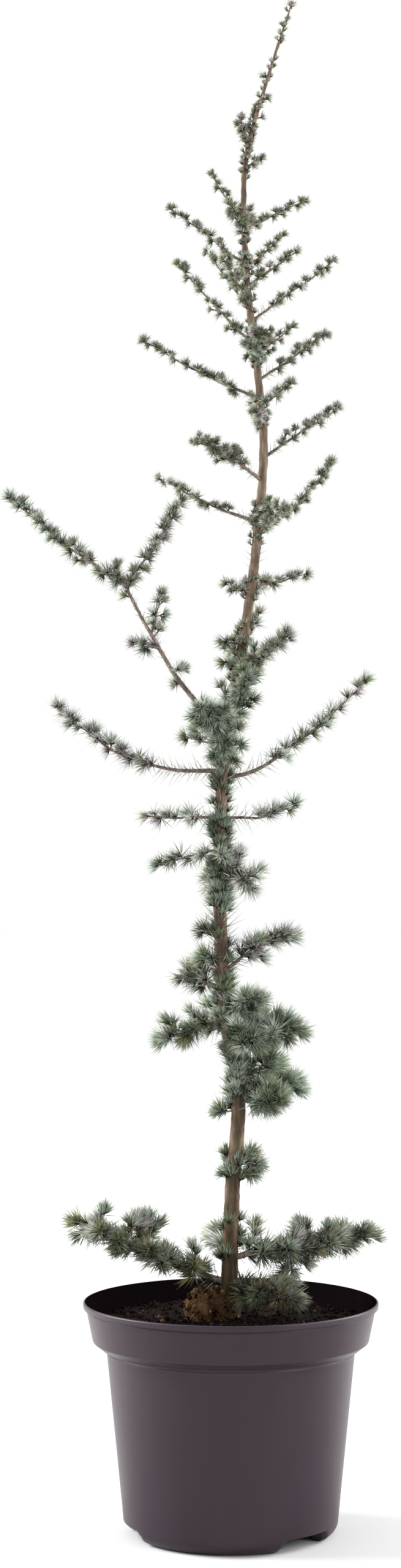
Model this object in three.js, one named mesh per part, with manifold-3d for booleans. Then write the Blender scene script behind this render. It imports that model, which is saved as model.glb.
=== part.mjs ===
// Young blue Atlas cedar in a plastic nursery pot: trunk, boughs, masses of foliage, soil and pot.
// Millimetres, +Z up. The origin is the centre of the pot's flat underside; +X is the plant's
// right, -Y its front. Angles ("side") are in degrees about the trunk: 0 is +X, 90 the back (+Y).

import * as THREE from 'three';
import { mergeVertices } from 'three/addons/utils/BufferGeometryUtils.js';
import Module from 'manifold-3d';

// ---------------------------------------------------------------- driving dimensions

const GAP = 0.3; // clearance between touching pieces

const POT = {
  height: 218,
  wall: 2.4,
  segments: 28,
  footRadius: 88,
  footRounding: 13.5, // how far in and up the foot's round corner comes
  bodyRadiusLow: 101.5,
  bodyRadiusHigh: 117.3,
  shoulderZ: 169,
  bandRadius: 134,
  bandBottomZ: 183,
  lipRadius: 139.5,
  lipDepth: 10,
  discRadius: 34, // the part of the underside that the pot also stands on
  discDraft: 3, // how far that disc's side leans out
  archZ: 12, // underside of the raised floor round that disc
  footRimWidth: 4, // flat width of the ring that the pot stands on
  notchCount: 3,
  notchWidth: 40, // degrees
  notchHeight: 13,
  notchDepth: 44, // measured in from outside the wall
  notchSide: -44.5, // where the first notch is centred
  drainCount: 6,
  drainRadius: 7,
  drainCircle: 62,
};

const SOIL = { level: 200, dome: 2, edgeDrop: 3, bumps: 1.2, seed: 11 };
const MOUND = { x: -16, y: 12, radius: 28, top: 231, depth: 8, sides: 14, seed: 5 };

const TRUNK = {
  foot: 203, // the flat cut, at soil level
  footRadius: 7.6,
  tipRadius: 0.8,
  taper: 0.72,
  flare: 3, // extra radius of the root flare
  flareHeight: 13,
  flareRidges: 4,
  flareRingShare: 0.12, // smaller draws the rings closer together in the root flare
  sides: 8,
  rings: 22,
  // [height, lean to the right, lean to the back]
  stations: [
    [203, -2, 0], [325, 1.5, 1], [417, 7.5, 3], [500, -6.5, 0], [735, -6.5, -2], [845, 13, 0],
    [955, 26.5, 2], [1035, 31, 0], [1145, 19, -2], [1227, 12.7, 0], [1305, 15.6, 1], [1360, 31, 1],
    [1442, 57.3, 0],
  ],
};

// Boughs with a bare foot. height: where it leaves the trunk. reach and rise: how far out and up
// its tip stands. curl: above 0 it turns up towards the tip, below 0 it arches over. bare: length
// out to where it enters its mass. girth: half the thickness of that mass. stout: radius at the
// trunk. fan: length of the side shoots, if they stand out of the mass.
const BOUGHS = [
  { name: 'low_left', height: 235, side: 182, reach: 155, rise: 63, curl: 0.1, bare: 22, girth: 17,
    stout: 3.4, fan: 40 },
  { name: 'low_right', height: 258, side: 2, reach: 152, rise: 27, curl: -0.6, bare: 14, girth: 16,
    stout: 3.4, fan: 34 },
  { name: 'lower_left', height: 489, side: 185, reach: 74, rise: -22, curl: 0.3, bare: 16, girth: 12,
    stout: 2.2, fan: 0 },
  { name: 'lower_right', height: 526, side: -8, reach: 74, rise: 36, curl: -1.2, bare: 22, girth: 15,
    stout: 2.2, fan: 0 },
  { name: 'middle_left', height: 674, side: 190, reach: 80, rise: 2, curl: 0, bare: 18, girth: 9,
    stout: 1.8, fan: 0 },
  { name: 'middle_right', height: 674, side: -10, reach: 82, rise: 18, curl: 2, bare: 34, girth: 8,
    stout: 1.8, fan: 0 },
  { name: 'long_left', height: 718, side: 178, reach: 166, rise: 71, curl: 1.6, bare: 34, girth: 8.5,
    stout: 2.6, fan: 0 },
  { name: 'long_right', height: 712, side: 5, reach: 144, rise: 101, curl: 0.65, bare: 38, girth: 8,
    stout: 2.6, fan: 0 },
  { name: 'upswept_left', height: 952, side: 170, reach: 100, rise: 46, curl: 0.1, bare: 24, girth: 7.5,
    stout: 2, fan: 0 },
  { name: 'front_left', height: 992, side: 215, reach: 79, rise: 34, curl: -0.3, bare: 20, girth: 9,
    stout: 2, fan: 0 },
  { name: 'slender_right', height: 1014, side: 8, reach: 76, rise: 51, curl: 0, bare: 18, girth: 7,
    stout: 1.7, fan: 0 },
  { name: 'slender_left', height: 1069, side: 175, reach: 116, rise: 59, curl: 0.1, bare: 17, girth: 7.5,
    stout: 1.7, fan: 0 },
  { name: 'high_right', height: 1087, side: 15, reach: 69, rise: 49, curl: 0.05, bare: 18, girth: 8,
    stout: 1.6, fan: 0 },
  { name: 'high_left', height: 1123, side: 195, reach: 78, rise: 75, curl: 0.2, bare: 15, girth: 7,
    stout: 1.5, fan: 0 },
  { name: 'crown_right', height: 1143, side: 5, reach: 82, rise: 61, curl: 0.05, bare: 22, girth: 7,
    stout: 1.4, fan: 0 },
  { name: 'crown_left', height: 1196, side: 185, reach: 76, rise: 55, curl: 0, bare: 18, girth: 6.5,
    stout: 1.3, fan: 0 },
];

// The long forked bough: a bare stem, a tuft half-way up it, and two arms of foliage past the fork.
const FORKED = {
  endRadius: 1.7,
  stem: { name: 'forked_left', height: 752, side: 183, reach: 96, rise: 142, curl: 0.3, stout: 3 },
  tuft: { name: 'forked_tuft', at: 0.74, side: 20, reach: 12, rise: 44, curl: 0, girth: 7 },
  outer: { name: 'forked_outer', side: 181, reach: 115, rise: 86, curl: 0.1, girth: 8 },
  inner: { name: 'forked_inner', side: 3, reach: 58, rise: 87, curl: 0.2, girth: 8 },
};

// Masses whose shoots stand straight on the trunk. collar: the height of trunk that short needles
// cover between the shoots, and how thickly.
const WHORLS = [
  { name: 'low_front', shoots: [
    { height: 238, side: -50, reach: 98, rise: -9, curl: 0, girth: 12 }] },
  { name: 'low_back', collar: [258, 294], cover: 3, shoots: [
    { height: 266, side: 96, reach: 118, rise: 2, curl: 0.4, girth: 14 },
    { height: 284, side: 190, reach: 24, rise: 6, curl: 0, girth: 9 }] },
  { name: 'tufts', collar: [330, 352], cover: 2.5, shoots: [
    { height: 338, side: 190, reach: 22, rise: 0, curl: 0, girth: 9 },
    { height: 345, side: -5, reach: 36, rise: 4, curl: 0, girth: 10 }] },
  { name: 'heavy_right', collar: [392, 422], cover: 3, shoots: [
    { height: 411, side: 12, reach: 76, rise: 15, curl: 0.2, girth: 17 },
    { height: 405, side: -40, reach: 52, rise: 6, curl: 0, girth: 12 },
    { height: 397, side: 188, reach: 36, rise: -1, curl: 0, girth: 7 }] },
  { name: 'heavy_front', collar: [458, 506], cover: 4, shoots: [
    { height: 463, side: -30, reach: 88, rise: 18, curl: 0, girth: 19 },
    { height: 466, side: -75, reach: 58, rise: 4, curl: 0, girth: 15 },
    { height: 496, side: -45, reach: 54, rise: 10, curl: 0, girth: 14 },
    { height: 478, side: 95, reach: 104, rise: 6, curl: 0.3, girth: 13 }] },
  { name: 'short_left', collar: [512, 566], cover: 3, shoots: [
    { height: 514, side: 165, reach: 51, rise: 14, curl: 0, girth: 11 },
    { height: 540, side: 200, reach: 38, rise: 2, curl: 0, girth: 10 },
    { height: 560, side: 185, reach: 36, rise: 10, curl: 0, girth: 10 }] },
  { name: 'short_right', collar: [586, 648], cover: 3.5, shoots: [
    { height: 616, side: -42, reach: 54, rise: 4, curl: 0, girth: 12 },
    { height: 636, side: -85, reach: 30, rise: 6, curl: 0, girth: 8 },
    { height: 604, side: 95, reach: 98, rise: 16, curl: 0.3, girth: 11 }] },
  { name: 'drooping_left', shoots: [
    { height: 645, side: 170, reach: 71, rise: -18, curl: 0, girth: 9 }] },
  { name: 'blue_front', collar: [730, 778], cover: 5, shoots: [
    { height: 735, side: -99, reach: 100, rise: 46, curl: 0.2, girth: 22 },
    { height: 764, side: -70, reach: 60, rise: 46, curl: 0, girth: 15 }] },
  { name: 'broad_back', shoots: [
    { height: 742, side: 86, reach: 128, rise: 40, curl: 0.3, girth: 13 }] },
  { name: 'dense_right', collar: [808, 850], cover: 4.5, shoots: [
    { height: 811, side: -40, reach: 68, rise: 38, curl: 0.3, girth: 12 },
    { height: 838, side: 185, reach: 30, rise: 3, curl: 0, girth: 7 },
    { height: 822, side: 195, reach: 26, rise: -2, curl: 0, girth: 7 },
    { height: 845, side: 30, reach: 20, rise: 32, curl: 0.5, girth: 5.5 },
    { height: 818, side: 92, reach: 112, rise: 34, curl: 0.3, girth: 11 }] },
  { name: 'small_pair', collar: [880, 898], cover: 2.5, shoots: [
    { height: 891, side: 12, reach: 60, rise: 16, curl: 0, girth: 6 },
    { height: 885, side: 165, reach: 30, rise: 13, curl: 0, girth: 7 },
    { height: 886, side: 75, reach: 70, rise: 20, curl: 0.2, girth: 7 }] },
  { name: 'upswept_right', collar: [936, 966], cover: 4, shoots: [
    { height: 946, side: -10, reach: 75, rise: 70, curl: 0.6, girth: 8 },
    { height: 942, side: -62, reach: 44, rise: 26, curl: 0, girth: 12 },
    { height: 948, side: 84, reach: 108, rise: 38, curl: 0.3, girth: 9 }] },
  { name: 'short_front', collar: [1042, 1066], cover: 4, shoots: [
    { height: 1063, side: -45, reach: 45, rise: 20, curl: 0, girth: 8 },
    { height: 1048, side: -105, reach: 30, rise: 8, curl: 0, girth: 8 },
    { height: 1046, side: 95, reach: 92, rise: 36, curl: 0.2, girth: 8 }] },
  { name: 'green_front', collar: [1100, 1124], cover: 5, shoots: [
    { height: 1106, side: -85, reach: 44, rise: 24, curl: 0, girth: 11 },
    { height: 1111, side: -30, reach: 44, rise: 27, curl: 0.1, girth: 7.5 },
    { height: 1108, side: 85, reach: 78, rise: 34, curl: 0.2, girth: 8 }] },
  { name: 'inner_left', collar: [1148, 1166], cover: 2.5, shoots: [
    { height: 1152, side: 150, reach: 51, rise: 65, curl: 0, girth: 6 },
    { height: 1158, side: 230, reach: 42, rise: 42, curl: 0, girth: 8.5 }] },
  { name: 'upper_pair', collar: [1172, 1200], cover: 2.2, shoots: [
    { height: 1195, side: 35, reach: 48, rise: 37, curl: 0.2, girth: 6 },
    { height: 1175, side: -25, reach: 55, rise: 32, curl: -0.1, girth: 6.5 },
    { height: 1178, side: 98, reach: 52, rise: 32, curl: 0, girth: 6.5 }] },
  { name: 'top_whorl', collar: [1218, 1238], cover: 2, shoots: [
    { height: 1230, side: 8, reach: 63, rise: 29, curl: -0.1, girth: 6 },
    { height: 1232, side: 160, reach: 35, rise: 55, curl: 0, girth: 5.5 },
    { height: 1221, side: 238, reach: 30, rise: 32, curl: 0, girth: 5.5 },
    { height: 1226, side: 80, reach: 42, rise: 34, curl: 0, girth: 5.5 }] },
  { name: 'leader', collar: [1286, 1438], cover: 3.6, shoots: [
    { height: 1288, side: 10, reach: 24, rise: 12, curl: 0, girth: 4.5 },
    { height: 1303, side: 170, reach: 7, rise: 37, curl: 0, girth: 5 },
    { height: 1334, side: 0, reach: 12, rise: 3, curl: 0, girth: 3.6 },
    { height: 1352, side: 5, reach: 14, rise: 2, curl: 0, girth: 3.6 },
    { height: 1373, side: 178, reach: 12, rise: 2, curl: 0, girth: 3.6 }] },
];

const LIMB_SIDES = 5;
const LIMB_RING_SPACING = 22;
const COLLAR_RING_SPACING = 26;

// The uneven surface of every mass, and the side shoots on the two lowest boughs.
const MASS = {
  ringSpacing: 14, stoutGirth: 13, lumpLow: 0.78, lumpRange: 0.36, firstSeed: 150, seedStep: 50,
};
const FAN = { places: [0.34, 0.5, 0.64, 0.8], turn: 52, girth: 0.66 };

const COLOURS = {
  pot: { color: 0x3d3338, roughness: 0.45 },
  soil: { color: 0x1d1410, roughness: 1 },
  mound: { color: 0x4a3020, roughness: 1 },
  bark: { color: 0x5b4a3a, roughness: 0.9 },
  foliage: { color: 0x52655a, roughness: 0.8 },
};

// ---------------------------------------------------------------- tools

const wasm = await Module();
wasm.setup();
const UP = new THREE.Vector3(0, 0, 1);

function seededRandom(seed) {
  let state = seed >>> 0;
  return () => {
    state = (state + 0x6d2b79f5) >>> 0;
    let mixed = Math.imul(state ^ (state >>> 15), 1 | state);
    mixed = (mixed + Math.imul(mixed ^ (mixed >>> 7), 61 | mixed)) ^ mixed;
    return ((mixed ^ (mixed >>> 14)) >>> 0) / 4294967296;
  };
}

// The surface with only its positions, and its shared vertices merged.
function weldedSurface(geometry) {
  const bare = geometry.clone();
  bare.deleteAttribute('normal');
  bare.deleteAttribute('uv');
  return mergeVertices(bare, 1e-4);
}

function toSolid(geometry) {
  const merged = weldedSurface(geometry);
  return new wasm.Manifold(new wasm.Mesh({
    numProp: 3,
    vertProperties: new Float32Array(merged.attributes.position.array),
    triVerts: new Uint32Array(merged.index.array),
  }));
}

function toMesh(name, solid, colour) {
  const { vertProperties, triVerts } = solid.getMesh();
  const geometry = new THREE.BufferGeometry();
  geometry.setAttribute('position', new THREE.BufferAttribute(vertProperties, 3));
  geometry.setIndex(new THREE.BufferAttribute(triVerts, 1));
  geometry.computeVertexNormals();
  const mesh = new THREE.Mesh(geometry, new THREE.MeshStandardMaterial({ metalness: 0, ...colour }));
  mesh.name = name;
  return mesh;
}

function joined(solids) {
  return solids.reduce((whole, solid) => whole.add(solid));
}

// Cuts a piece back and keeps its largest body, without the crumbs that a cut leaves.
function cutBy(solid, cutters) {
  const rest = cutters.reduce((left, cutter) => left.subtract(cutter), solid);
  const bodies = rest.decompose();
  return bodies.reduce((largest, body) => (body.volume() > largest.volume() ? body : largest));
}

// A profile of [radius, height] turned about +Z, starting and ending on the axis.
function turned(profile, segments) {
  const points = profile.map(([radius, height]) => new THREE.Vector2(radius, height));
  return new THREE.LatheGeometry(points, segments).rotateX(Math.PI / 2);
}

// A capped cylinder whose rings follow a path. pointAt(t) gives the centre and
// radiusAt(t, ring, side) the radius. grow makes it that much larger all round, and level keeps
// the rings horizontal.
function bentRod(pointAt, radiusAt, sides, rings, { grow = 0, level = false } = {}) {
  const geometry = new THREE.CylinderGeometry(1, 1, 1, sides, rings);
  const position = geometry.attributes.position;
  const vertex = new THREE.Vector3();
  for (let i = 0; i < position.count; i += 1) {
    vertex.fromBufferAttribute(position, i);
    const t = THREE.MathUtils.clamp(vertex.y + 0.5, 0, 1);
    const turn = Math.atan2(vertex.z, vertex.x) / (2 * Math.PI);
    const side = Math.round((turn + 1) * sides) % sides;
    const radius = radiusAt(t, Math.round(t * rings), side) + grow;
    const ahead = pointAt(Math.min(t + 0.01, 1)).sub(pointAt(Math.max(t - 0.01, 0))).normalize();
    const along = level ? UP.clone() : ahead;
    const across = Math.abs(along.z) > 0.95
      ? new THREE.Vector3(0, 1, 0).cross(along).normalize()
      : new THREE.Vector3().crossVectors(along, UP).normalize();
    const third = new THREE.Vector3().crossVectors(across, along);
    vertex.copy(pointAt(t).addScaledVector(across, vertex.x * radius)
      .addScaledVector(third, vertex.z * radius)
      .addScaledVector(along, (2 * t - 1) * grow));
    position.setXYZ(i, vertex.x, vertex.y, vertex.z);
  }
  return geometry;
}

// ---------------------------------------------------------------- pot

// The outer wall, from the axis under the pot up to the lip.
function potOutside() {
  const { bandRadius, lipRadius, height, lipDepth } = POT;
  return [
    [0, 0], [POT.discRadius, 0], [POT.discRadius + POT.discDraft, POT.archZ],
    [POT.footRadius - POT.footRimWidth - 2, POT.archZ], [POT.footRadius - POT.footRimWidth, 0],
    ...footCorner(), [POT.bodyRadiusHigh, POT.shoulderZ],
    [bandRadius - 3, POT.bandBottomZ - 2], [bandRadius, POT.bandBottomZ + 3],
    [bandRadius + 0.5, height - lipDepth - 2], [lipRadius - 1, height - lipDepth + 1],
    [lipRadius, height - 4.5], [lipRadius - 2.5, height],
  ];
}

// The round corner between the underside and the wall.
function footCorner() {
  const steps = 3;
  return Array.from({ length: steps + 1 }, (_, i) => {
    const turn = (Math.PI / 2) * (i / steps);
    return [POT.footRadius + POT.footRounding * Math.sin(turn), POT.footRounding * (1 - Math.cos(turn))];
  });
}

// The inner wall, from the lip down to the axis, set in by so much from the outer one.
function potInside(inset) {
  const floorZ = POT.archZ + inset;
  return [
    [POT.bandRadius - inset + 1, POT.height], [POT.bandRadius - inset, POT.height - 4],
    [POT.bandRadius - inset, POT.bandBottomZ + 3], [POT.bodyRadiusHigh - inset, POT.shoulderZ + 1],
    [POT.bodyRadiusLow - inset, floorZ + 2], [POT.discRadius + POT.discDraft - inset, floorZ],
    [POT.discRadius - inset, inset], [0, inset],
  ];
}

function pot() {
  let solid = toSolid(turned([...potOutside(), ...potInside(POT.wall)], POT.segments));
  const block = new THREE.BoxGeometry(1, 1, 1);
  for (let i = 0; i < POT.notchCount; i += 1) {
    const side = POT.notchSide + (i * 360) / POT.notchCount;
    const width = 2 * POT.footRadius * Math.sin(THREE.MathUtils.degToRad(POT.notchWidth / 2));
    const notch = block.clone().scale(POT.notchDepth, width, POT.notchHeight * 2)
      .translate(POT.footRadius + POT.notchDepth / 4, 0, 0).rotateZ(THREE.MathUtils.degToRad(side));
    solid = solid.subtract(toSolid(notch));
  }
  for (let i = 0; i < POT.drainCount; i += 1) {
    const turn = (2 * Math.PI * (i + 0.5)) / POT.drainCount;
    const drain = new THREE.CylinderGeometry(POT.drainRadius, POT.drainRadius, POT.archZ * 4, 8)
      .rotateX(Math.PI / 2)
      .translate(POT.drainCircle * Math.cos(turn), POT.drainCircle * Math.sin(turn), 0);
    solid = solid.subtract(toSolid(drain));
  }
  return solid;
}

// ---------------------------------------------------------------- trunk

const trunkCurve = new THREE.CatmullRomCurve3(
  TRUNK.stations.map(([height, right, back]) => new THREE.Vector3(right, back, height)),
  false, 'centripetal');
const TRUNK_TOP = TRUNK.stations.at(-1)[0];

// The trunk's centre at a height, found by halving the curve's span.
function trunkAt(height) {
  let low = 0;
  let high = 1;
  for (let i = 0; i < 30; i += 1) {
    const middle = (low + high) / 2;
    if (trunkCurve.getPoint(middle).z < height) low = middle;
    else high = middle;
  }
  const point = trunkCurve.getPoint((low + high) / 2);
  return point.setZ(height);
}

function trunkRadius(height) {
  const left = 1 - (height - TRUNK.foot) / (TRUNK_TOP - TRUNK.foot);
  return TRUNK.tipRadius + (TRUNK.footRadius - TRUNK.tipRadius) * Math.pow(Math.max(left, 0), TRUNK.taper);
}

function trunk(grow = 0) {
  const { flareRingShare } = TRUNK;
  const spread = (t) => flareRingShare * t + (1 - flareRingShare) * Math.pow(t, 1.35);
  const heightAt = (t) => TRUNK.foot + (TRUNK_TOP - TRUNK.foot) * spread(t);
  const pointAt = (t) => trunkAt(heightAt(t));
  const radiusAt = (t, ring, side) => {
    const height = heightAt(t);
    const flare = TRUNK.flare * Math.exp(-(height - TRUNK.foot) / TRUNK.flareHeight);
    const ridge = 1 + 0.35 * Math.cos((2 * Math.PI * TRUNK.flareRidges * side) / TRUNK.sides);
    return trunkRadius(height) + flare * ridge;
  };
  return toSolid(bentRod(pointAt, radiusAt, TRUNK.sides, TRUNK.rings, { grow, level: true }));
}

// ---------------------------------------------------------------- soil

function unevenTop(geometry, fromZ, depth, seed) {
  const random = seededRandom(seed);
  const merged = weldedSurface(geometry);
  const position = merged.attributes.position;
  for (let i = 0; i < position.count; i += 1) {
    const lift = (random() - 0.5) * 2 * depth;
    if (position.getZ(i) > fromZ) position.setZ(i, position.getZ(i) + lift);
  }
  return merged;
}

function soil() {
  const { level, dome, edgeDrop, bumps } = SOIL;
  const below = potInside(POT.wall + GAP).filter(([, height]) => height < level).reverse();
  const edge = POT.bandRadius - POT.wall - GAP;
  const profile = [
    ...below, [edge, level - edgeDrop],
    [edge * 0.8, level], [edge * 0.42, level + dome * 0.7], [0, level + dome],
  ];
  return toSolid(unevenTop(turned(profile, POT.segments), level - edgeDrop / 2, bumps, SOIL.seed));
}

// The top of the older root ball, a knot of brown fibre that stands up out of the soil.
function mound(grow = 0) {
  const rise = MOUND.top - SOIL.level;
  const random = seededRandom(MOUND.seed);
  const profile = [
    [0, -MOUND.depth], [MOUND.radius * 0.9, -MOUND.depth], [MOUND.radius, rise * 0.2],
    [MOUND.radius * 0.94, rise * 0.62], [MOUND.radius * 0.7, rise * 0.92], [0, rise],
  ];
  const geometry = weldedSurface(turned(profile, MOUND.sides));
  const position = geometry.attributes.position;
  for (let i = 0; i < position.count; i += 1) {
    const swell = 0.9 + 0.16 * random();
    const radius = Math.hypot(position.getX(i), position.getY(i)) || 1;
    const scale = swell + grow / radius;
    const lift = position.getZ(i) > 0 ? grow : -grow;
    position.setXYZ(i, position.getX(i) * scale, position.getY(i) * scale, position.getZ(i) + lift);
  }
  return toSolid(geometry.translate(MOUND.x, MOUND.y, SOIL.level));
}

// ---------------------------------------------------------------- boughs and foliage

function heading(side) {
  const turn = THREE.MathUtils.degToRad(side);
  return new THREE.Vector3(Math.cos(turn), Math.sin(turn), 0);
}

// How far up its rise a limb has come, part-way out.
function climb(t, curl) {
  return curl >= 0 ? Math.pow(t, 1 + curl) : 1 - Math.pow(1 - t, 1 - curl);
}

// The centre line of a bough or shoot from its foot, as a function of 0 to 1.
function limbPath(foot, { side, reach, rise, curl }) {
  const out = heading(side);
  return (t) => foot.clone().addScaledVector(out, reach * t).addScaledVector(UP, rise * climb(t, curl));
}

function stretch(pathAt, from, to) {
  return (t) => pathAt(from + (to - from) * t);
}

function limb(pathAt, end, footRadius, endRadius, grow = 0) {
  const rings = Math.max(2, Math.round(pathAt(0).distanceTo(pathAt(end)) / LIMB_RING_SPACING));
  const radiusAt = (t) => footRadius + (endRadius - footRadius) * Math.pow(t, 0.8);
  return toSolid(bentRod(stretch(pathAt, 0, end), radiusAt, LIMB_SIDES, rings, { grow }));
}

// A closed, uneven sleeve of foliage round a stretch of path.
function sleeve(pathAt, from, to, girth, seed, grow = 0) {
  const random = seededRandom(seed);
  const length = pathAt(from).distanceTo(pathAt(to));
  const sides = girth < MASS.stoutGirth ? 5 : 6;
  const rings = Math.max(2, Math.round(length / (MASS.ringSpacing + girth * 0.8)));
  const { lumpLow, lumpRange } = MASS;
  const lumps = Array.from({ length: (rings + 1) * sides }, () => lumpLow + lumpRange * random());
  const radiusAt = (t, ring, side) => {
    const start = Math.min(1, 0.42 + (0.58 * t * length) / girth);
    const tip = Math.sqrt(1 - 0.84 * Math.pow(t, 5));
    const knot = ring % 2 ? 1.06 : 0.88;
    return girth * start * tip * knot * lumps[ring * sides + side];
  };
  return toSolid(bentRod(stretch(pathAt, from, to), radiusAt, sides, rings, { grow }));
}

// Side shoots that stand out of a bough's mass, left and right by turns, shorter towards its tip.
function sideShoots(pathAt, bough, seed, grow) {
  return FAN.places.map((place, i) => {
    const turn = i % 2 ? FAN.turn : -FAN.turn;
    const reach = bough.fan * (1.15 - 0.6 * place);
    const shoot = { side: bough.side + turn, reach, rise: reach * 0.3, curl: 0.2 };
    const girth = bough.girth * FAN.girth;
    return sleeve(limbPath(pathAt(place), shoot), 0, 1, girth, seed + i + 1, grow);
  });
}

function boughMass(bough, pathAt, seed, grow = 0) {
  const from = (bough.bare + GAP) / bough.reach;
  const main = sleeve(pathAt, from, 1, bough.girth, seed, grow);
  return bough.fan ? joined([main, ...sideShoots(pathAt, bough, seed, grow)]) : main;
}

function whorlMass(whorl, seed, grow = 0) {
  const parts = whorl.shoots.map((shoot, i) => {
    const from = Math.min((trunkRadius(shoot.height) + 2 * GAP) / shoot.reach, 0.3);
    return sleeve(limbPath(trunkAt(shoot.height), shoot), from, 1, shoot.girth, seed + 10 * i, grow);
  });
  if (whorl.collar) {
    const [low, high] = whorl.collar;
    const pathAt = (t) => trunkAt(low + (high - low) * t);
    const rings = Math.max(1, Math.round((high - low) / COLLAR_RING_SPACING));
    const radiusAt = (t, ring) => trunkRadius(low + (high - low) * t)
      + whorl.cover * (ring % 2 ? 1.1 : 0.85);
    parts.unshift(toSolid(bentRod(pathAt, radiusAt, LIMB_SIDES, rings, { grow })));
  }
  return joined(parts);
}

// ---------------------------------------------------------------- the plant

const tree = new THREE.Group();
const bark = [trunk(GAP)]; // grown by the gap, to cut what stands on it
const foliage = [];

function boxesMeet(one, other) {
  const a = one.boundingBox();
  const b = other.boundingBox();
  return [0, 1, 2].every((k) => a.min[k] <= b.max[k] && b.min[k] <= a.max[k]);
}

// Adds a piece, cut back from the wood and from the masses that are already there, and returns
// the grown shape that cuts the next ones.
function place(name, colour, make) {
  const raw = make(0);
  const near = [...bark, ...foliage].filter((cutter) => boxesMeet(cutter, raw));
  tree.add(toMesh(name, cutBy(raw, near), colour));
  return make(GAP);
}

tree.add(toMesh('pot', pot(), COLOURS.pot));
tree.add(toMesh('soil', cutBy(soil(), [bark[0], mound(GAP)]), COLOURS.soil));
tree.add(toMesh('soil_mound', cutBy(mound(), [bark[0]]), COLOURS.mound));
tree.add(toMesh('trunk', trunk(), COLOURS.bark));

const boughPaths = new Map();
const grownLimbs = [...BOUGHS, FORKED.stem].map((bough) => {
  const pathAt = limbPath(trunkAt(bough.height), bough);
  const end = bough.bare ? bough.bare / bough.reach : 1;
  const endRadius = bough.bare ? bough.stout * (1 - 0.6 * end) : FORKED.endRadius;
  boughPaths.set(bough.name, pathAt);
  const make = (grow) => limb(pathAt, end, bough.stout, endRadius, grow);
  return place(`bough_${bough.name}`, COLOURS.bark, make);
});
bark.push(...grownLimbs);

const stemPath = boughPaths.get(FORKED.stem.name);
const arms = [FORKED.outer, FORKED.inner].map((arm) => ({
  name: arm.name,
  make: (seed, grow) => sleeve(limbPath(stemPath(1), arm), 2 * GAP / arm.reach, 1, arm.girth, seed, grow),
}));
const tuft = {
  name: FORKED.tuft.name,
  make: (seed, grow) => {
    const pathAt = limbPath(stemPath(FORKED.tuft.at), FORKED.tuft);
    return sleeve(pathAt, 0, 1, FORKED.tuft.girth, seed, grow);
  },
};
const boughMasses = BOUGHS.map((bough) => ({
  name: bough.name,
  make: (seed, grow) => boughMass(bough, boughPaths.get(bough.name), seed, grow),
}));
const whorlMasses = WHORLS.map((whorl) => ({
  name: whorl.name,
  make: (seed, grow) => whorlMass(whorl, seed, grow),
}));

[...boughMasses, ...arms, tuft, ...whorlMasses].forEach(({ name, make }, i) => {
  const seed = MASS.firstSeed + MASS.seedStep * i;
  foliage.push(place(`foliage_${name}`, COLOURS.foliage, (grow) => make(seed, grow)));
});

export default tree;
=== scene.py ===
# %% [markdown]
# # A young blue cedar in a nursery pot
#
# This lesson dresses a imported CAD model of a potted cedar. The CAD holds the true places: the pot,
# the soil, the trunk, the boughs and one plain solid for each mass of foliage. Here the pot and the
# wood get their fine shape, and every mass is replaced by twigs and needles that grow along the
# same lines. Everything is in metres, +Z is up and -Y is the front.

# %% Load the frame
import math
from collections import namedtuple

import bmesh
import bpy
import numpy as np
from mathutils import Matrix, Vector, noise


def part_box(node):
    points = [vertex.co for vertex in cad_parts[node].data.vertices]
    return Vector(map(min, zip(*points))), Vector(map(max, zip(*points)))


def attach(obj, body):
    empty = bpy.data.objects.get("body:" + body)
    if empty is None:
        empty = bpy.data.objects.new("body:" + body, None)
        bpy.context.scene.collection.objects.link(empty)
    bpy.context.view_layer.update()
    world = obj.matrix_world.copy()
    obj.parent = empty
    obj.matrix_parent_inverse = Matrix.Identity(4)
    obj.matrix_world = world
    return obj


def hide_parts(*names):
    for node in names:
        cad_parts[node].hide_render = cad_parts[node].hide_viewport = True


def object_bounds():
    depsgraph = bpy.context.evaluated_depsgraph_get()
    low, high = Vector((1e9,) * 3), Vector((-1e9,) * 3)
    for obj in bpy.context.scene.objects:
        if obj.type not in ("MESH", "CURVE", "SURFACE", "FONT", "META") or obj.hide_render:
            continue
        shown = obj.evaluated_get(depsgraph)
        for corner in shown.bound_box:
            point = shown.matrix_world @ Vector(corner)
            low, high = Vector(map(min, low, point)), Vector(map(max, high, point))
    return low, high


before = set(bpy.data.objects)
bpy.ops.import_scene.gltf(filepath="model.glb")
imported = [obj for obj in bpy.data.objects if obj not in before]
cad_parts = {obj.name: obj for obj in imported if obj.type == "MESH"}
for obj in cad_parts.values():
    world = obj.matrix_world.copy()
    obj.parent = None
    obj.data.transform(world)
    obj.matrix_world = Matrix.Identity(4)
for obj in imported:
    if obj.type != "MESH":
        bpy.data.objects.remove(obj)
cad_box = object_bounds()
MM = 0.001  # the frame is in metres, and small sizes are easier to read in mm
print("CAD box in metres:", [[round(v, 3) for v in corner] for corner in cad_box])

# %% [markdown]
# ## Where the trunk runs
#
# Shoots have to start on the trunk, so its centre line and thickness are read from the CAD solid.
# That solid is made of level rings, so its corners are sorted by height, and each ring gives one
# centre and one radius. A young trunk bends without a corner, so the line between the rings is a
# smooth curve through their centres.


# %% Measure the trunk
RIM = 0.5  # share of a ring's radius; corners nearer the middle belong to a cap
TRUNK_STEP = 2 * MM  # between two points of the centre line


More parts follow.
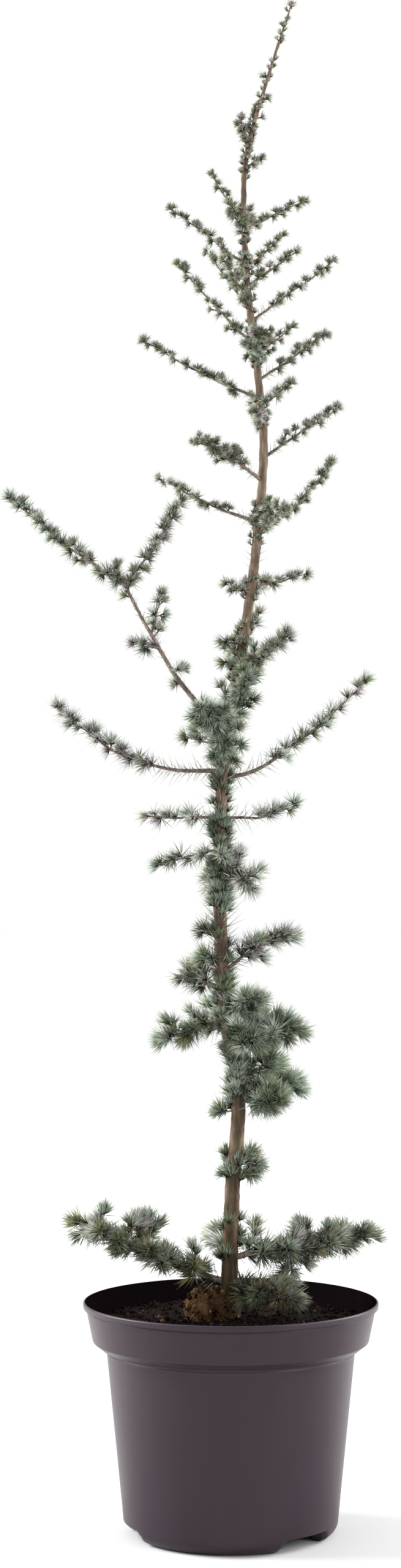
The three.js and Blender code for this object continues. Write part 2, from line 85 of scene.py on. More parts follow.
def level_rings(node):
    """Height, centre and radius of each level ring of a CAD solid, lowest first."""
    corners = np.array([v.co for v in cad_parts[node].data.vertices], float)
    heights = np.round(corners[:, 2], 4)  # to a tenth of a millimetre
    rows = []
    for height in np.unique(heights):
        ring = np.unique(np.round(corners[heights == height], 5), axis=0)
        middle = (ring[:, :2].max(0) + ring[:, :2].min(0)) / 2
        away = np.hypot(*(ring[:, :2] - middle).T)
        rows.append((height, *middle, away[away > RIM * away.max()].mean()))
    return np.array(rows)


rings = level_rings("trunk")
trunk_foot, trunk_tip = rings[0, 0], rings[-1, 0]
trunk_heights = np.linspace(trunk_foot, trunk_tip, int((trunk_tip - trunk_foot) / TRUNK_STEP))


def smooth_through(where, knots, values):
    """A curve through the values at the knots: a cubic between each two, with no corner."""
    slopes = np.gradient(values, knots)
    left = np.clip(np.searchsorted(knots, where, side="right") - 1, 0, len(knots) - 2)
    width = knots[left + 1] - knots[left]
    t = (where - knots[left]) / width
    rise = t * t * (3 - 2 * t)
    bend = width * t * (1 - t) * (slopes[left] * (1 - t) - slopes[left + 1] * t)
    return values[left] + (values[left + 1] - values[left]) * rise + bend


trunk_line = np.stack(
    [smooth_through(trunk_heights, rings[:, 0], rings[:, k]) for k in (1, 2)], axis=1)
trunk_radii = np.interp(trunk_heights, rings[:, 0], rings[:, 3])


def trunk_at(height):
    """The trunk's centre at a height."""
    return np.array([np.interp(height, trunk_heights, trunk_line[:, k]) for k in (0, 1)] + [height])


def trunk_radius(height):
    """The trunk's radius at a height."""
    return float(np.interp(height, trunk_heights, trunk_radii))


print(f"trunk: {len(rings)} rings, {trunk_tip - trunk_foot:.3f} m long")

# %% [markdown]
# ## Writing shaders as sums
#
# A material is a graph of nodes. Written node by node, a simple mix takes ten lines, so a small
# class wraps a socket and lets Python's own operators add the Math nodes. One method adds any other
# node: it takes the node's type, its settings and its inputs. Colours go through Mix nodes, because
# a Math node would turn them grey.


# %% Shader helpers
class Socket:
    """An output socket. Adding, taking away or multiplying makes a Math node."""

    def __init__(self, finish, socket):
        self.finish = finish
        self.socket = socket

    def math(self, operation, *values):
        """A Math node of these values."""
        return self.finish.node("Math", {"operation": operation}, dict(enumerate(values)))

    def __add__(self, other):
        return self.math("ADD", self, other)

    def __sub__(self, other):
        return self.math("SUBTRACT", self, other)

    def __rsub__(self, other):
        return self.math("SUBTRACT", other, self)

    def __mul__(self, other):
        return self.math("MULTIPLY", self, other)

    __radd__ = __add__
    __rmul__ = __mul__


class Finish:
    """A material that is built up node by node round one Principled shader."""

    def __init__(self, name, constants):
        self.material = bpy.data.materials.new(name)
        self.material.use_nodes = True
        self.tree = self.material.node_tree
        self.shader = self.tree.nodes["Principled BSDF"]
        for socket, value in constants.items():
            self.shader.inputs[socket].default_value = value

    def node(self, kind, settings=None, inputs=None, output=0):
        """Adds a node: its settings first, then its sockets, by name or number."""
        made = self.tree.nodes.new("ShaderNode" + kind)
        for setting, value in (settings or {}).items():
            if setting == "stops":
                self.set_stops(made.color_ramp, value)
            else:
                setattr(made, setting, value)
        for socket, value in (inputs or {}).items():
            self.feed(made.inputs[socket], value)
        return Socket(self, made.outputs[output])

    def set_stops(self, ramp, stops):
        """Gives a ramp its stops, each a number for a grey or a colour."""
        while len(ramp.elements) < len(stops):
            ramp.elements.new(1)
        for element, (place, value) in zip(ramp.elements, stops):
            element.position = place
            element.color = (*value, 1) if isinstance(value, tuple) else (value, value, value, 1)

    def feed(self, target, value):
        """Links a socket, or sets the number or colour that it holds."""
        if isinstance(value, Socket):
            self.tree.links.new(value.socket, target)
        else:
            target.default_value = value

    def place(self, scale=(1, 1, 1)):
        """Object coordinates, stretched."""
        coordinates = self.node("TexCoord", output="Object")
        return self.node("Mapping", inputs={"Vector": coordinates, "Scale": scale})

    def grain(self, scale, detail=4, stretch=(1, 1, 1)):
        """Noise from 0 to 1, so many waves to the metre."""
        sizes = {"Vector": self.place(stretch), "Scale": scale, "Detail": detail}
        return self.node("TexNoise", inputs=sizes)

    def ramp(self, value, *stops):
        """A value or a colour by stops of (place, value or colour)."""
        return self.node("ValToRGB", {"stops": stops}, {"Fac": value})

    def mix(self, factor, one, other):
        """One colour at factor 0, the other at 1."""
        inputs = {0: factor, 6: one, 7: other}  # 6, 7 and output 2 are the node's colour sockets
        return self.node("Mix", {"data_type": "RGBA"}, inputs, output=2)

    def surface(self, colour, roughness=None, height=None, depth=None):
        """Feeds the shader. height becomes a bump of the depth given."""
        self.feed(self.shader.inputs["Base Color"], colour)
        if roughness is not None:
            self.feed(self.shader.inputs["Roughness"], roughness)
        if height is not None:
            bump = self.node("Bump", inputs={"Height": height, "Distance": depth})
            self.feed(self.shader.inputs["Normal"], bump)
        return self.material


def linear(red, green, blue):
    """A colour given as a screen shows it, 0 to 255 on the sRGB curve, in the shader's values."""
    shares = (v / 255 for v in (red, green, blue))
    return (*((s / 12.92 if s <= 0.04045 else ((s + 0.055) / 1.055) ** 2.4) for s in shares), 1)


# %% [markdown]
# ## Pieces
#
# Every finished piece is one mesh object at the origin, unturned and unscaled, with its place in
# its vertices. It rides on the only body, has its finishes in its own slots, and hides the CAD
# solids that it stands for.


# %% Piece helpers
DOUBLES = 0.01 * MM  # corners nearer to each other than this are merged


def add_piece(name, mesh, materials, replaces=()):
    """Makes the object, puts it on the root body and hides the CAD solids that it replaces."""
    piece = bpy.data.objects.new(name, mesh)
    bpy.context.scene.collection.objects.link(piece)
    for material in materials:
        mesh.materials.append(material)
    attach(piece, "root")
    if replaces:
        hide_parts(*replaces)
    mesh.calc_loop_triangles()
    print(f"{name}: {len(mesh.loop_triangles)} triangles")


def finished_mesh(name, shape):
    """The bmesh as a smooth mesh, with its normals pointing outwards."""
    bmesh.ops.remove_doubles(shape, verts=shape.verts, dist=DOUBLES)
    bmesh.ops.recalc_face_normals(shape, faces=shape.faces)
    for face in shape.faces:
        face.smooth = True
    mesh = bpy.data.meshes.new(name)
    shape.to_mesh(mesh)
    shape.free()
    return mesh


def spun(outline, steps):
    """An outline of (radius, height) points in mm, turned once about the Z axis."""
    shape = bmesh.new()
    corners = [shape.verts.new((radius * MM, 0, height * MM)) for radius, height in outline]
    edges = [shape.edges.new(pair) for pair in zip(corners, corners[1:])]
    bmesh.ops.spin(
        shape, geom=corners + edges, cent=(0, 0, 0), axis=(0, 0, 1), dvec=(0, 0, 0),
        angle=2 * math.pi, steps=steps, use_merge=True, use_duplicate=False,
    )
    return shape


def arc(centre, radius, start, end, steps):
    """Points on a round stretch of an outline. Angles in degrees, 0 outwards and 90 up."""
    turns = np.radians(np.linspace(start, end, steps + 1))
    return [(centre[0] + radius * math.cos(a), centre[1] + radius * math.sin(a)) for a in turns]


# %% [markdown]
# ## The pot's plastic
#
# Nursery pots are moulded from recycled plastic, so the colour is a dull plum brown with faint
# clouds and flow lines in it, and the skin is satin. The gloss comes from the shader. The noise
# only moves the colour and the roughness a little, and a fine bump breaks up the reflections.


# %% Finish of the pot
SCUFF_GREY = linear(110, 102, 104)


def pot_plastic(name, dark, light, rough=0.32, shine=0.27):
    """Moulded plastic between two tones. rough is where its roughness starts."""
    finish = Finish(name, {"Specular IOR Level": shine})
    clouds = finish.grain(9)
    streaks = finish.grain(60, stretch=(1, 1, 0.08))
    scuffs = finish.ramp(finish.grain(240, detail=8), (0.66, 0.0), (0.78, 1.0))
    body = finish.mix(clouds * 0.6 + streaks * 0.4, dark, light)
    colour = finish.mix(scuffs * 0.08, body, SCUFF_GREY)
    roughness = rough + clouds * 0.12 + scuffs * 0.1
    return finish.surface(colour, roughness, streaks + finish.grain(900) * 0.3, 0.12 * MM)


pot_outer = pot_plastic("satin_plum_plastic", linear(34, 22, 31), linear(46, 33, 42))
# The inside is the same plastic made near-black and without sheen: painted shade, partly damp.
pot_inside_painted_shade = pot_plastic(
    "damp_and_painted_shade_plum_plastic", linear(9, 6, 7), linear(16, 11, 13), rough=0.8, shine=0.0)

# %% [markdown]
# ## The pot
#
# A pot is a thing of turned form, so half of its outline is drawn once and spun about the axis.
# The outline is one closed wall: up the outside over the foot, the slanted shoulder, the band and
# the rolled lip, then down the inside. The outer sizes come from the CAD solid's box. The notches
# in the foot are made after the spin, by lifting the foot's lowest rings where a notch is, which
# keeps the wall closed.

# %% Outline of the pot
pot_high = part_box("pot")[1]
# All sizes are in mm: radii from the axis, and heights above the ground.
lip_radius = pot_high.x / MM
pot_height = pot_high.z / MM
WALL = 2.4  # thickness
FOOT_RADIUS = 88  # to the middle of the foot's rounding
FOOT_ROUNDING = 13.5
DISC_RADIUS = 34  # of the disc in the middle that the pot also stands on
ARCH_HEIGHT = 12  # of the underside, between disc and foot
WALL_LOW = FOOT_RADIUS + FOOT_ROUNDING  # radius of the wall above its foot
WALL_HIGH = lip_radius - 22.2  # radius of the wall under its shoulder
WALL_STOPS = (0.25, 0.5, 0.75, 0.97)  # shares of the wall's height
SHOULDER = pot_height - 46.5  # height where the shoulder starts
BAND_BOTTOM = pot_height - 37  # height where the band starts
BAND = lip_radius - 5.5  # radius of the band
print(f"pot: {2 * lip_radius:.0f} mm across its lip and {pot_height:.0f} mm high")


def pot_outside():
    """The outer wall from the axis under the pot up to the top of the lip."""
    foot = [
        (0, 0), (DISC_RADIUS, 0), (DISC_RADIUS + 0.8, 0.6), (DISC_RADIUS + 3, ARCH_HEIGHT),
        (FOOT_RADIUS - 6, ARCH_HEIGHT), (FOOT_RADIUS - 4.4, 0.5), (FOOT_RADIUS - 4, 0),
        *arc((FOOT_RADIUS, FOOT_ROUNDING), FOOT_ROUNDING, -90, 0, 10),
    ]
    out, up = WALL_HIGH - WALL_LOW, SHOULDER - FOOT_ROUNDING
    wall = [(WALL_LOW + out * share, FOOT_ROUNDING + up * share) for share in WALL_STOPS]
    ridge = arc((WALL_HIGH - 0.4, SHOULDER), 1.0, -60, 60, 4)
    shoulder = [(WALL_HIGH + 4.5, SHOULDER + 3.2), (BAND - 6.4, BAND_BOTTOM - 1.6)]
    band = [
        *arc((BAND - 6.2, BAND_BOTTOM + 2.2), 3.0, -70, -8, 6),
        (BAND + 2.2, pot_height - 8.6), *arc((BAND + 1.6, pot_height - 7.4), 0.8, -10, 60, 3),
    ]
    lip = [
        (lip_radius - 2.0, pot_height - 5.9),
        *arc((lip_radius - 1.0, pot_height - 4.6), 1.0, -60, 0, 4),
        *arc((lip_radius - 1.3, pot_height - 1.3), 1.3, 0, 90, 6),
    ]
    return foot + wall + ridge + shoulder + band + lip


def pot_inside():
    """The inner wall from the lip down to the axis."""
    floor = ARCH_HEIGHT + WALL
    return [
        *arc((lip_radius - 1.7, pot_height - 0.7), 0.7, 90, 180, 3),
        (lip_radius - 3.4, pot_height - 4), (BAND + 1 - WALL, pot_height - 9),
        (BAND - 4.2 - WALL, BAND_BOTTOM + 3),
        (WALL_HIGH - WALL, SHOULDER + 1), (WALL_LOW - WALL, floor + 2),
        (DISC_RADIUS + 3 - WALL, floor), (DISC_RADIUS - WALL, WALL), (0, WALL),
    ]


# %% Spin the pot and notch its foot
NOTCH_COUNT = 3
NOTCH_SIDE = -44.5  # degrees, the middle of the first one
NOTCH_WIDTH = 40  # degrees
NOTCH_SLOPE = 5  # degrees of each sloping side
NOTCH_HEIGHT = 13  # mm
NOTCH_INNER = 76  # mm from the axis; what is nearer isn't lifted


def notch_lift(side):
    """How far the foot is lifted at an angle, in mm."""
    spacing = 360 / NOTCH_COUNT
    away = abs((side - NOTCH_SIDE + spacing / 2) % spacing - spacing / 2)
    share = min(max((NOTCH_WIDTH / 2 - away) / NOTCH_SLOPE, 0), 1)
    return NOTCH_HEIGHT * share * share * (3 - 2 * share)


def build_pot():
    """The whole pot, with the damp, near-black plastic of painted shade on the faces of its inside.
    """
    shape = spun(pot_outside() + pot_inside(), steps=180)
    for corner in shape.verts:
        radius = math.hypot(corner.co.x, corner.co.y)
        if radius > NOTCH_INNER * MM and corner.co.z < NOTCH_HEIGHT * MM:
            side = math.degrees(math.atan2(corner.co.y, corner.co.x))
            corner.co.z = max(corner.co.z, notch_lift(side) * MM)
    mesh = finished_mesh("pot_shell", shape)
    for face in mesh.polygons:
        outwards = face.normal.x * face.center.x + face.normal.y * face.center.y
        # faces that look inwards get the near-black plastic of painted shade
        if outwards < 0 and face.center.z > ARCH_HEIGHT * MM:
            face.material_index = 1  # pot_inside_painted_shade
    return mesh


add_piece("pot_shell", build_pot(), [pot_outer, pot_inside_painted_shade], ["pot"])

# %% [markdown]
# ## Soil
#
# The soil is dark, moist and crumbly. Its bed is a spun disc whose top is pushed up and down by
# noise. Crumbs on it are one small lump, an icosphere of twenty faces, copied thousands of times
# into one mesh. A mesh made from arrays does that in a moment, where thousands of objects would
# not. A crumb's tone is a plain colour, dealt out crumb by crumb.


# %% Copies of a small shape
class Stamp:
    """A small shape as arrays. Triangles below a height are its foot, with a tone of its own."""

    def __init__(self, shape, foot_below=None):
        bmesh.ops.triangulate(shape, faces=shape.faces)
        bmesh.ops.recalc_face_normals(shape, faces=shape.faces)
        shape.verts.index_update()
        self.corners = np.array([v.co for v in shape.verts], float)
        self.faces = np.array([[v.index for v in f.verts] for f in shape.faces])
        heights = np.array([f.calc_center_median().z for f in shape.faces])
        self.is_foot = np.zeros(len(heights), bool) if foot_below is None else heights < foot_below
        shape.free()


def mesh_from(name, corners, faces, tones, smooth):
    """A mesh of triangles from arrays, with the material slot of each."""
    mesh = bpy.data.meshes.new(name)
    mesh.vertices.add(len(corners))
    mesh.vertices.foreach_set("co", corners.astype(np.float32).ravel())
    mesh.loops.add(faces.size)
    mesh.loops.foreach_set("vertex_index", faces.astype(np.int32).ravel())
    mesh.polygons.add(len(faces))
    mesh.polygons.foreach_set("loop_start", np.arange(0, faces.size, 3, dtype=np.int32))
    mesh.polygons.foreach_set("material_index", tones.astype(np.int32))
    mesh.polygons.foreach_set("use_smooth", np.full(len(faces), smooth))
    mesh.update(calc_edges=True)
    return mesh


def copies_of(name, stamp, places, turns, tones, smooth=True):
    """Copies of a stamp in one mesh. turns holds a 3x3 matrix for each, scale included."""
    corners = np.einsum("nij,vj->nvi", turns, stamp.corners) + places[:, None, :]
    count = len(stamp.corners)
    faces = stamp.faces[None] + (np.arange(len(places)) * count)[:, None, None]
    slots = np.where(stamp.is_foot[None], 0, np.asarray(tones)[:, None])
    return mesh_from(name, corners.reshape(-1, 3), faces.reshape(-1, 3), slots.ravel(), smooth)


def random_turns(rng, count):
    """Random rotations, from random quaternions."""
    q = rng.normal(size=(count, 4))
    w, x, y, z = (q / np.linalg.norm(q, axis=1, keepdims=True)).T
    rows = [
        [1 - 2 * (y * y + z * z), 2 * (x * y - z * w), 2 * (x * z + y * w)],
        [2 * (x * y + z * w), 1 - 2 * (x * x + z * z), 2 * (y * z - x * w)],
        [2 * (x * z - y * w), 2 * (y * z + x * w), 1 - 2 * (x * x + y * y)],
    ]
    return np.moveaxis(np.array(rows), 2, 0)


# %% Soil finishes
def crumbly(name, dark, light, waves=420):
    """Dull crumbs between two tones, so many waves to the metre."""
    finish = Finish(name, {"Specular IOR Level": 0.05})
    crumbs = finish.grain(waves, detail=8)
    colour = finish.mix(finish.ramp(crumbs, (0.35, 0.0), (0.7, 1.0)), dark, light)
    return finish.surface(colour, 0.95 + crumbs * 0.05, crumbs, 0.8 * MM)


soil_dark = crumbly("soil_dark", linear(6, 3, 2), linear(16, 9, 7))
soil_brown = crumbly("soil_brown", linear(18, 9, 7), linear(36, 22, 17))
soil_light = crumbly("soil_light", linear(44, 31, 24), linear(74, 56, 46))
fibre_dark = crumbly("fibre_dark", linear(26, 15, 9), linear(50, 33, 20), waves=300)
fibre_brown = crumbly("fibre_brown", linear(32, 20, 12), linear(98, 72, 48), waves=110)
fibre_light = crumbly("fibre_light", linear(80, 60, 42), linear(136, 112, 84), waves=300)

# %% Soil bed
soil_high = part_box("soil")[1]
# All sizes are in mm.
soil_level = soil_high.z / MM - 3  # the CAD's top is the top of the dome and its lumps
soil_edge = BAND - 1.6 - WALL  # radius
SOIL_SKIRT = 14  # how deep the bed is
SOIL_RINGS = 64  # from the edge to the middle
DOME, DOME_FALL = 1.6, 3.2  # height in the middle, and how far the edge lies under it
SOIL_LUMPS = [(0.035, 2.2), (0.13, 1.3), (0.42, 0.8)]  # waves to the mm, and height


def soil_top(x, y):
    """Height of the soil's surface above its level, in mm: lumps, hollows and a slight dome."""
    here = Vector((x, y, 0))
    lumps = sum(noise.noise(here * waves) * height for waves, height in SOIL_LUMPS)
    away = math.hypot(x, y) / soil_edge
    return DOME - DOME_FALL * away ** 3 + lumps * (1 - 0.5 * away)


def build_soil():
    """The bed: a flat disc, whose top corners are then set to the soil's surface."""
    bottom = soil_level - SOIL_SKIRT
    across = [(soil_edge * share, soil_level) for share in np.linspace(1, 0, SOIL_RINGS)]
    shape = spun([(0, bottom), (soil_edge, bottom), *across], steps=200)
    for corner in shape.verts:
        if corner.co.z > (soil_level - 1) * MM:
            corner.co.z += soil_top(corner.co.x / MM, corner.co.y / MM) * MM
    return finished_mesh("soil_bed", shape)


add_piece("soil_bed", build_soil(), [soil_dark], ["soil"])

# %% Crumbs on the soil
CRUMB_COUNT = 2100
CRUMB_TONES = [0.60, 0.32, 0.08]  # how many are dark, brown and pale
SEEDS = {  # one for each thing that chance shapes, so that a change to one leaves the rest alone
    "soil_crumbs": 21, "root_strands": 8, "knot_crumbs": 33,
    "boughs": 1000, "fork": 2000, "shoots": 3000, "collars": 4000, "trunk": 5000,
}


def seeded(thing, number=0):
    """A random generator that gives the same numbers every time."""
    return np.random.default_rng(SEEDS[thing] + number)


def crumb_copies(name, places, radius, tones, rng):
    """Small lumps, each turned and squashed its own way. radius in mm."""
    lump = bmesh.new()
    bmesh.ops.create_icosphere(lump, subdivisions=1, radius=1)
    for corner in lump.verts:
        corner.co *= 0.8 + 0.4 * rng.random()
    squash = 0.8 + 0.6 * rng.random((len(places), 3))
    turns = random_turns(rng, len(places)) * (squash * radius[:, None] * MM)[:, None, :]
    return copies_of(name, Stamp(lump), places, turns, tones, smooth=False)


def build_crumbs():
    """Crumbs all over the soil, most of them small."""
    rng = seeded("soil_crumbs")
    away = (soil_edge - 2) * np.sqrt(rng.random(CRUMB_COUNT))
    turn = 2 * math.pi * rng.random(CRUMB_COUNT)
    x, y = away * np.cos(turn), away * np.sin(turn)
    radius = 0.5 + 2.3 * rng.random(CRUMB_COUNT) ** 4
    top = np.array([soil_top(*xy) for xy in zip(x, y)])
    places = np.stack([x, y, soil_level + top + radius * 0.3], axis=1) * MM
    tones = rng.choice(3, CRUMB_COUNT, p=CRUMB_TONES)
    return crumb_copies("soil_crumbs", places, radius, tones, rng)


add_piece("soil_crumbs", build_crumbs(), [soil_dark, soil_brown, soil_light])

# %% [markdown]
# ## Tubes along a line
#
# Trunk, boughs, twigs, spurs and the fibres of the root ball are all tubes whose thickness changes
# along a line. A curve object with a round bevel makes exactly that: each point has its own
# radius. Many splines in one curve become one mesh in one step. The mesh then gets its relief,
# by moving each corner along its normal.


# %% Tube helper
CAP_GAP = 0.001 * MM  # a cap's corners lie on the tube's own, and are merged with them
OCTAVES = 3  # sizes of lumps in one relief


def tubes(name, lines, sides):
    """One mesh of round, capped tubes. lines holds (points, radii) in metres."""
    curve = bpy.data.curves.new(name, "CURVE")
    curve.dimensions = "3D"
    curve.bevel_depth = MM
    curve.bevel_resolution = (sides - 4) // 2  # a round bevel has 4 sides and 2 more for each
    curve.use_fill_caps = True
    for points, radii in lines:
        spline = curve.splines.new("POLY")
        spline.points.add(len(points) - 1)
        flat = np.concatenate([points, np.ones((len(points), 1))], axis=1)
        spline.points.foreach_set("co", flat.ravel())
        spline.points.foreach_set("radius", np.asarray(radii) / MM)
    holder = bpy.data.objects.new(name, curve)
    bpy.context.scene.collection.objects.link(holder)
    shape = bmesh.new()
    shape.from_mesh(bpy.data.meshes.new_from_object(holder))
    bpy.data.objects.remove(holder)
    bmesh.ops.remove_doubles(shape, verts=shape.verts, dist=CAP_GAP)
    bmesh.ops.recalc_face_normals(shape, faces=shape.faces)
    return shape


def roughen(shape, depth, waves, stretch=1.0):
    """Moves each corner along its normal by noise. stretch below 1 draws the lumps out upwards."""
    shape.normal_update()
    for corner in shape.verts:
        where = Vector((corner.co.x, corner.co.y, corner.co.z * stretch)) * waves
        corner.co += corner.normal * (noise.fractal(where, 0.8, 2.0, OCTAVES) * depth)


# %% [markdown]
# ## The old root ball
#
# Left of the trunk and behind it, the top of the older root ball stands out of the soil. It is a
# knot of matted brown fibre that once filled a smaller pot, so its sides are steep and its top is
# nearly flat. Carving a cylinder would leave an edge, so the corners of a sphere are pushed out
# towards a rounded box instead, and noise in three sizes makes them lumpy. A few hundred thin
# strands wander over it. Crumbs of peat stick to it, and to the foot of the trunk beside it.

# %% Knot of fibre
mound_low, mound_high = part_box("soil_mound")
mound_middle = Vector((
    (mound_low.x + mound_high.x) / 2, (mound_low.y + mound_high.y) / 2, mound_low.z))
mound_reach = (mound_high.x - mound_low.x) / 2
mound_rise = mound_high.z - mound_low.z
BOXINESS = 6  # 2 is a ball; more gives steep sides and a flat top
MOUND_SCALE = 0.93  # leaves room in the CAD's box for the lumps
LUMPS = [(45, 5.0), (110, 2.6), (320, 0.9)]  # waves to the metre, and depth in mm


def mound_surface(turn, tilt):
    """A point on the knot, by compass angle and by angle above level."""
    out, up = math.cos(tilt), math.sin(tilt)
    size = (abs(out) ** BOXINESS + abs(up) ** BOXINESS) ** (-1 / BOXINESS)
    flat = Vector((math.cos(turn), math.sin(turn), 0))
    where = flat * out * size * mound_reach + Vector((0, 0, up * size * mound_rise))
    lumps = sum(noise.noise(where * waves) * depth for waves, depth in LUMPS)
    return mound_middle + where * MOUND_SCALE + where.normalized() * lumps * MM


def build_mound():
    """The knot. All corners of the sphere's lower half come to its flat underside's edge."""
    shape = bmesh.new()
    bmesh.ops.create_uvsphere(shape, u_segments=96, v_segments=64, radius=1)
    for corner in shape.verts:
        turn = math.atan2(corner.co.y, corner.co.x)
        tilt = math.asin(min(max(corner.co.z, 0), 1))
        corner.co = mound_surface(turn, tilt)
    bmesh.ops.dissolve_degenerate(shape, edges=shape.edges, dist=DOUBLES)
    return finished_mesh("root_knot", shape)


add_piece("root_knot", build_mound(), [fibre_brown], ["soil_mound"])

# %% Strands over the knot
STRAND_COUNT = 520
STRAND_POINTS = 6
STRAND_STEP = 0.1  # radians between two points
STRAND_WANDER = 1.3  # radians, the most that its way changes in a step, both sides together
STEEPEST = 1.5  # radians above level; nothing crosses the very top


def strand(rng):
    """A line that wanders over the knot, and its radii."""
    turn = 2 * math.pi * rng.random()
    tilt = 1.45 * rng.random()
    way = 2 * math.pi * rng.random()
    points = []
    for _ in range(STRAND_POINTS):
        lifted = mound_surface(turn, tilt) - mound_middle
        points.append(mound_middle + lifted * (0.99 + 0.03 * rng.random()))
        way += STRAND_WANDER * (rng.random() - 0.5)
        turn += STRAND_STEP * math.cos(way) / max(math.cos(tilt), 0.3)
        tilt = min(max(tilt + STRAND_STEP * math.sin(way), 0.03), STEEPEST)
    radii = np.linspace(0.18, 0.08, len(points)) * (0.6 + 1.6 * rng.random() ** 4) * MM
    return np.array(points), radii


def build_strands():
    rng = seeded("root_strands")
    lines = [strand(rng) for _ in range(STRAND_COUNT)]
    return finished_mesh("root_strands", tubes("root_strands", lines, 4))


add_piece("root_strands", build_strands(), [fibre_light])

# %% Crumbs on the knot
KNOT_CRUMB_COUNT = 900
FOOT_CRUMB_COUNT = 160
FOOT_CRUMBS_REACH = 34 * MM  # how high they sit on the trunk
PEAT_TONES = [0.45, 0.43, 0.12]  # how many are dark, brown and pale


def foot_place(turn, share):
    """A point on the bark, by compass angle and by share of the way up that the crumbs reach."""
    height = trunk_foot + share * FOOT_CRUMBS_REACH
    out = np.array([math.cos(turn), math.sin(turn), 0.0])
    return trunk_at(height) + out * trunk_radius(height)


def build_knot_crumbs():
    """Crumbs of peat, stuck to the knot and to the foot of the trunk."""
    rng = seeded("knot_crumbs")
    radius = 0.5 + 2.2 * rng.random(KNOT_CRUMB_COUNT) ** 3
    turn = 2 * math.pi * rng.random(KNOT_CRUMB_COUNT)
    tilt = STEEPEST * rng.random(KNOT_CRUMB_COUNT)
    places = np.array([mound_surface(*angles) for angles in zip(turn, tilt)])
    turn = 2 * math.pi * rng.random(FOOT_CRUMB_COUNT)
    share = rng.random(FOOT_CRUMB_COUNT) ** 1.6
    places = np.vstack([places, [foot_place(*pair) for pair in zip(turn, share)]])
    radius = np.append(radius, 0.4 + 1.2 * rng.random(FOOT_CRUMB_COUNT) ** 2)
    tones = rng.choice(3, len(places), p=PEAT_TONES)
    return crumb_copies("knot_crumbs", places, radius, tones, rng)


add_piece("knot_crumbs", build_knot_crumbs(), [fibre_dark, fibre_brown, fibre_light])

# %% [markdown]
# ## Bark
#
# Young cedar bark is grey brown and mostly smooth, with shallow upright cracks, paler ridges and
# dark specks. Near the soil it is darker and a little green, where foliage shades it the bark is
# painted darker and reddish as painted shade, and the young wood at the top is pale. So the three
# colours of the trunk's bark, dark, middle and light, each come from a ramp over its height. On
# twigs and spurs they are the same all over. Noise that is drawn out upwards picks between the
# three, and is the bump as well, so that the cracks are both dark and deep.


# %% Bark finishes
BARK_TOP = 1.44  # metres, about the tree's own height
BARK_STOPS = (0.155, 0.25, 0.40, 0.58, 0.75)  # shares of that height
# the dip at 0.40 of the height, darker and reddish, is painted shade from the foliage above
TRUNK_COLOURS = {  # as a screen shows them, at each of those heights
    "dark": [(26, 18, 10), (46, 36, 27), (38, 27, 23), (45, 36, 28), (53, 42, 34)],
    "middle": [(52, 39, 24), (87, 74, 58), (76, 60, 50), (88, 75, 61), (103, 88, 74)],
    "light": [(84, 66, 43), (123, 107, 87), (106, 89, 77), (123, 107, 90), (143, 125, 108)],
}


def bark(name, dark, middle, light):
    """Each colour is one colour, or a list of (share of the height, colour)."""
    finish = Finish(name, {"Specular IOR Level": 0.2})
    height = finish.node("SeparateXYZ", inputs={0: finish.place()}, output="Z") * (1 / BARK_TOP)
    patches = finish.grain(34)

    def by_place(colour):
        if not isinstance(colour, list):
            return colour
        stops = ((share, value[:3]) for share, value in colour)
        return finish.ramp(height + patches * 0.04 - 0.02, *stops)

    cracks = finish.grain(260, detail=8, stretch=(1, 1, 0.16))
    specks = finish.ramp(finish.grain(700, detail=2), (0.66, 0.0), (0.74, 1.0))
    tone = cracks * 0.7 + patches * 0.5 - 0.1
    dark, middle, light = by_place(dark), by_place(middle), by_place(light)
    lower = finish.mix(finish.ramp(tone, (0.30, 0.0), (0.52, 1.0)), dark, middle)
    colour = finish.mix(finish.ramp(tone, (0.52, 0.0), (0.74, 1.0)), lower, light)
    speckled = finish.mix(specks * 0.7, colour, dark)
    return finish.surface(speckled, 0.75 + cracks * 0.2, cracks + specks * 0.3, 0.9 * MM)


trunk_bark = bark("trunk_bark", **{
    tone: [(share, linear(*colour)) for share, colour in zip(BARK_STOPS, colours)]
    for tone, colours in TRUNK_COLOURS.items()
})
twig_bark = bark("twig_bark", linear(60, 51, 44), linear(104, 92, 83), linear(144, 131, 121))
spur_bark = bark("spur_bark", linear(38, 29, 23), linear(70, 55, 44), linear(96, 80, 66))

# %% [markdown]
# ## The trunk
#
# The trunk follows the line that was measured from the CAD. Close to the soil it flares into a few
# root ridges, which are a wave round the trunk that dies away upwards. The rest of the relief is
# noise, drawn out along the trunk as bark cracks are.

# %% Trunk mesh
FLARE_RIDGES = 4
FLARE_HEIGHT = 16 * MM  # the ridges fade to a third in this height
FLARE_WAVE = 1.4 * MM


def build_trunk():
    """A tube along the centre line, with ridges at its foot, bark cracks and broad swellings."""
    points = np.column_stack([trunk_line, trunk_heights])
    shape = tubes("trunk_bark", [(points, trunk_radii)], sides=28)
    for corner in shape.verts:
        centre = trunk_at(corner.co.z)
        turn = math.atan2(corner.co.y - centre[1], corner.co.x - centre[0])
        fade = math.exp(-(corner.co.z - trunk_foot) / FLARE_HEIGHT)
        wave = FLARE_WAVE * math.cos(FLARE_RIDGES * turn) * fade
        corner.co += Vector((math.cos(turn), math.sin(turn), 0)) * wave
    roughen(shape, 0.45 * MM, 420, stretch=0.22)
    roughen(shape, 0.5 * MM, 90)
    return finished_mesh("trunk_wood", shape)


add_piece("trunk_wood", build_trunk(), [trunk_bark], ["trunk"])

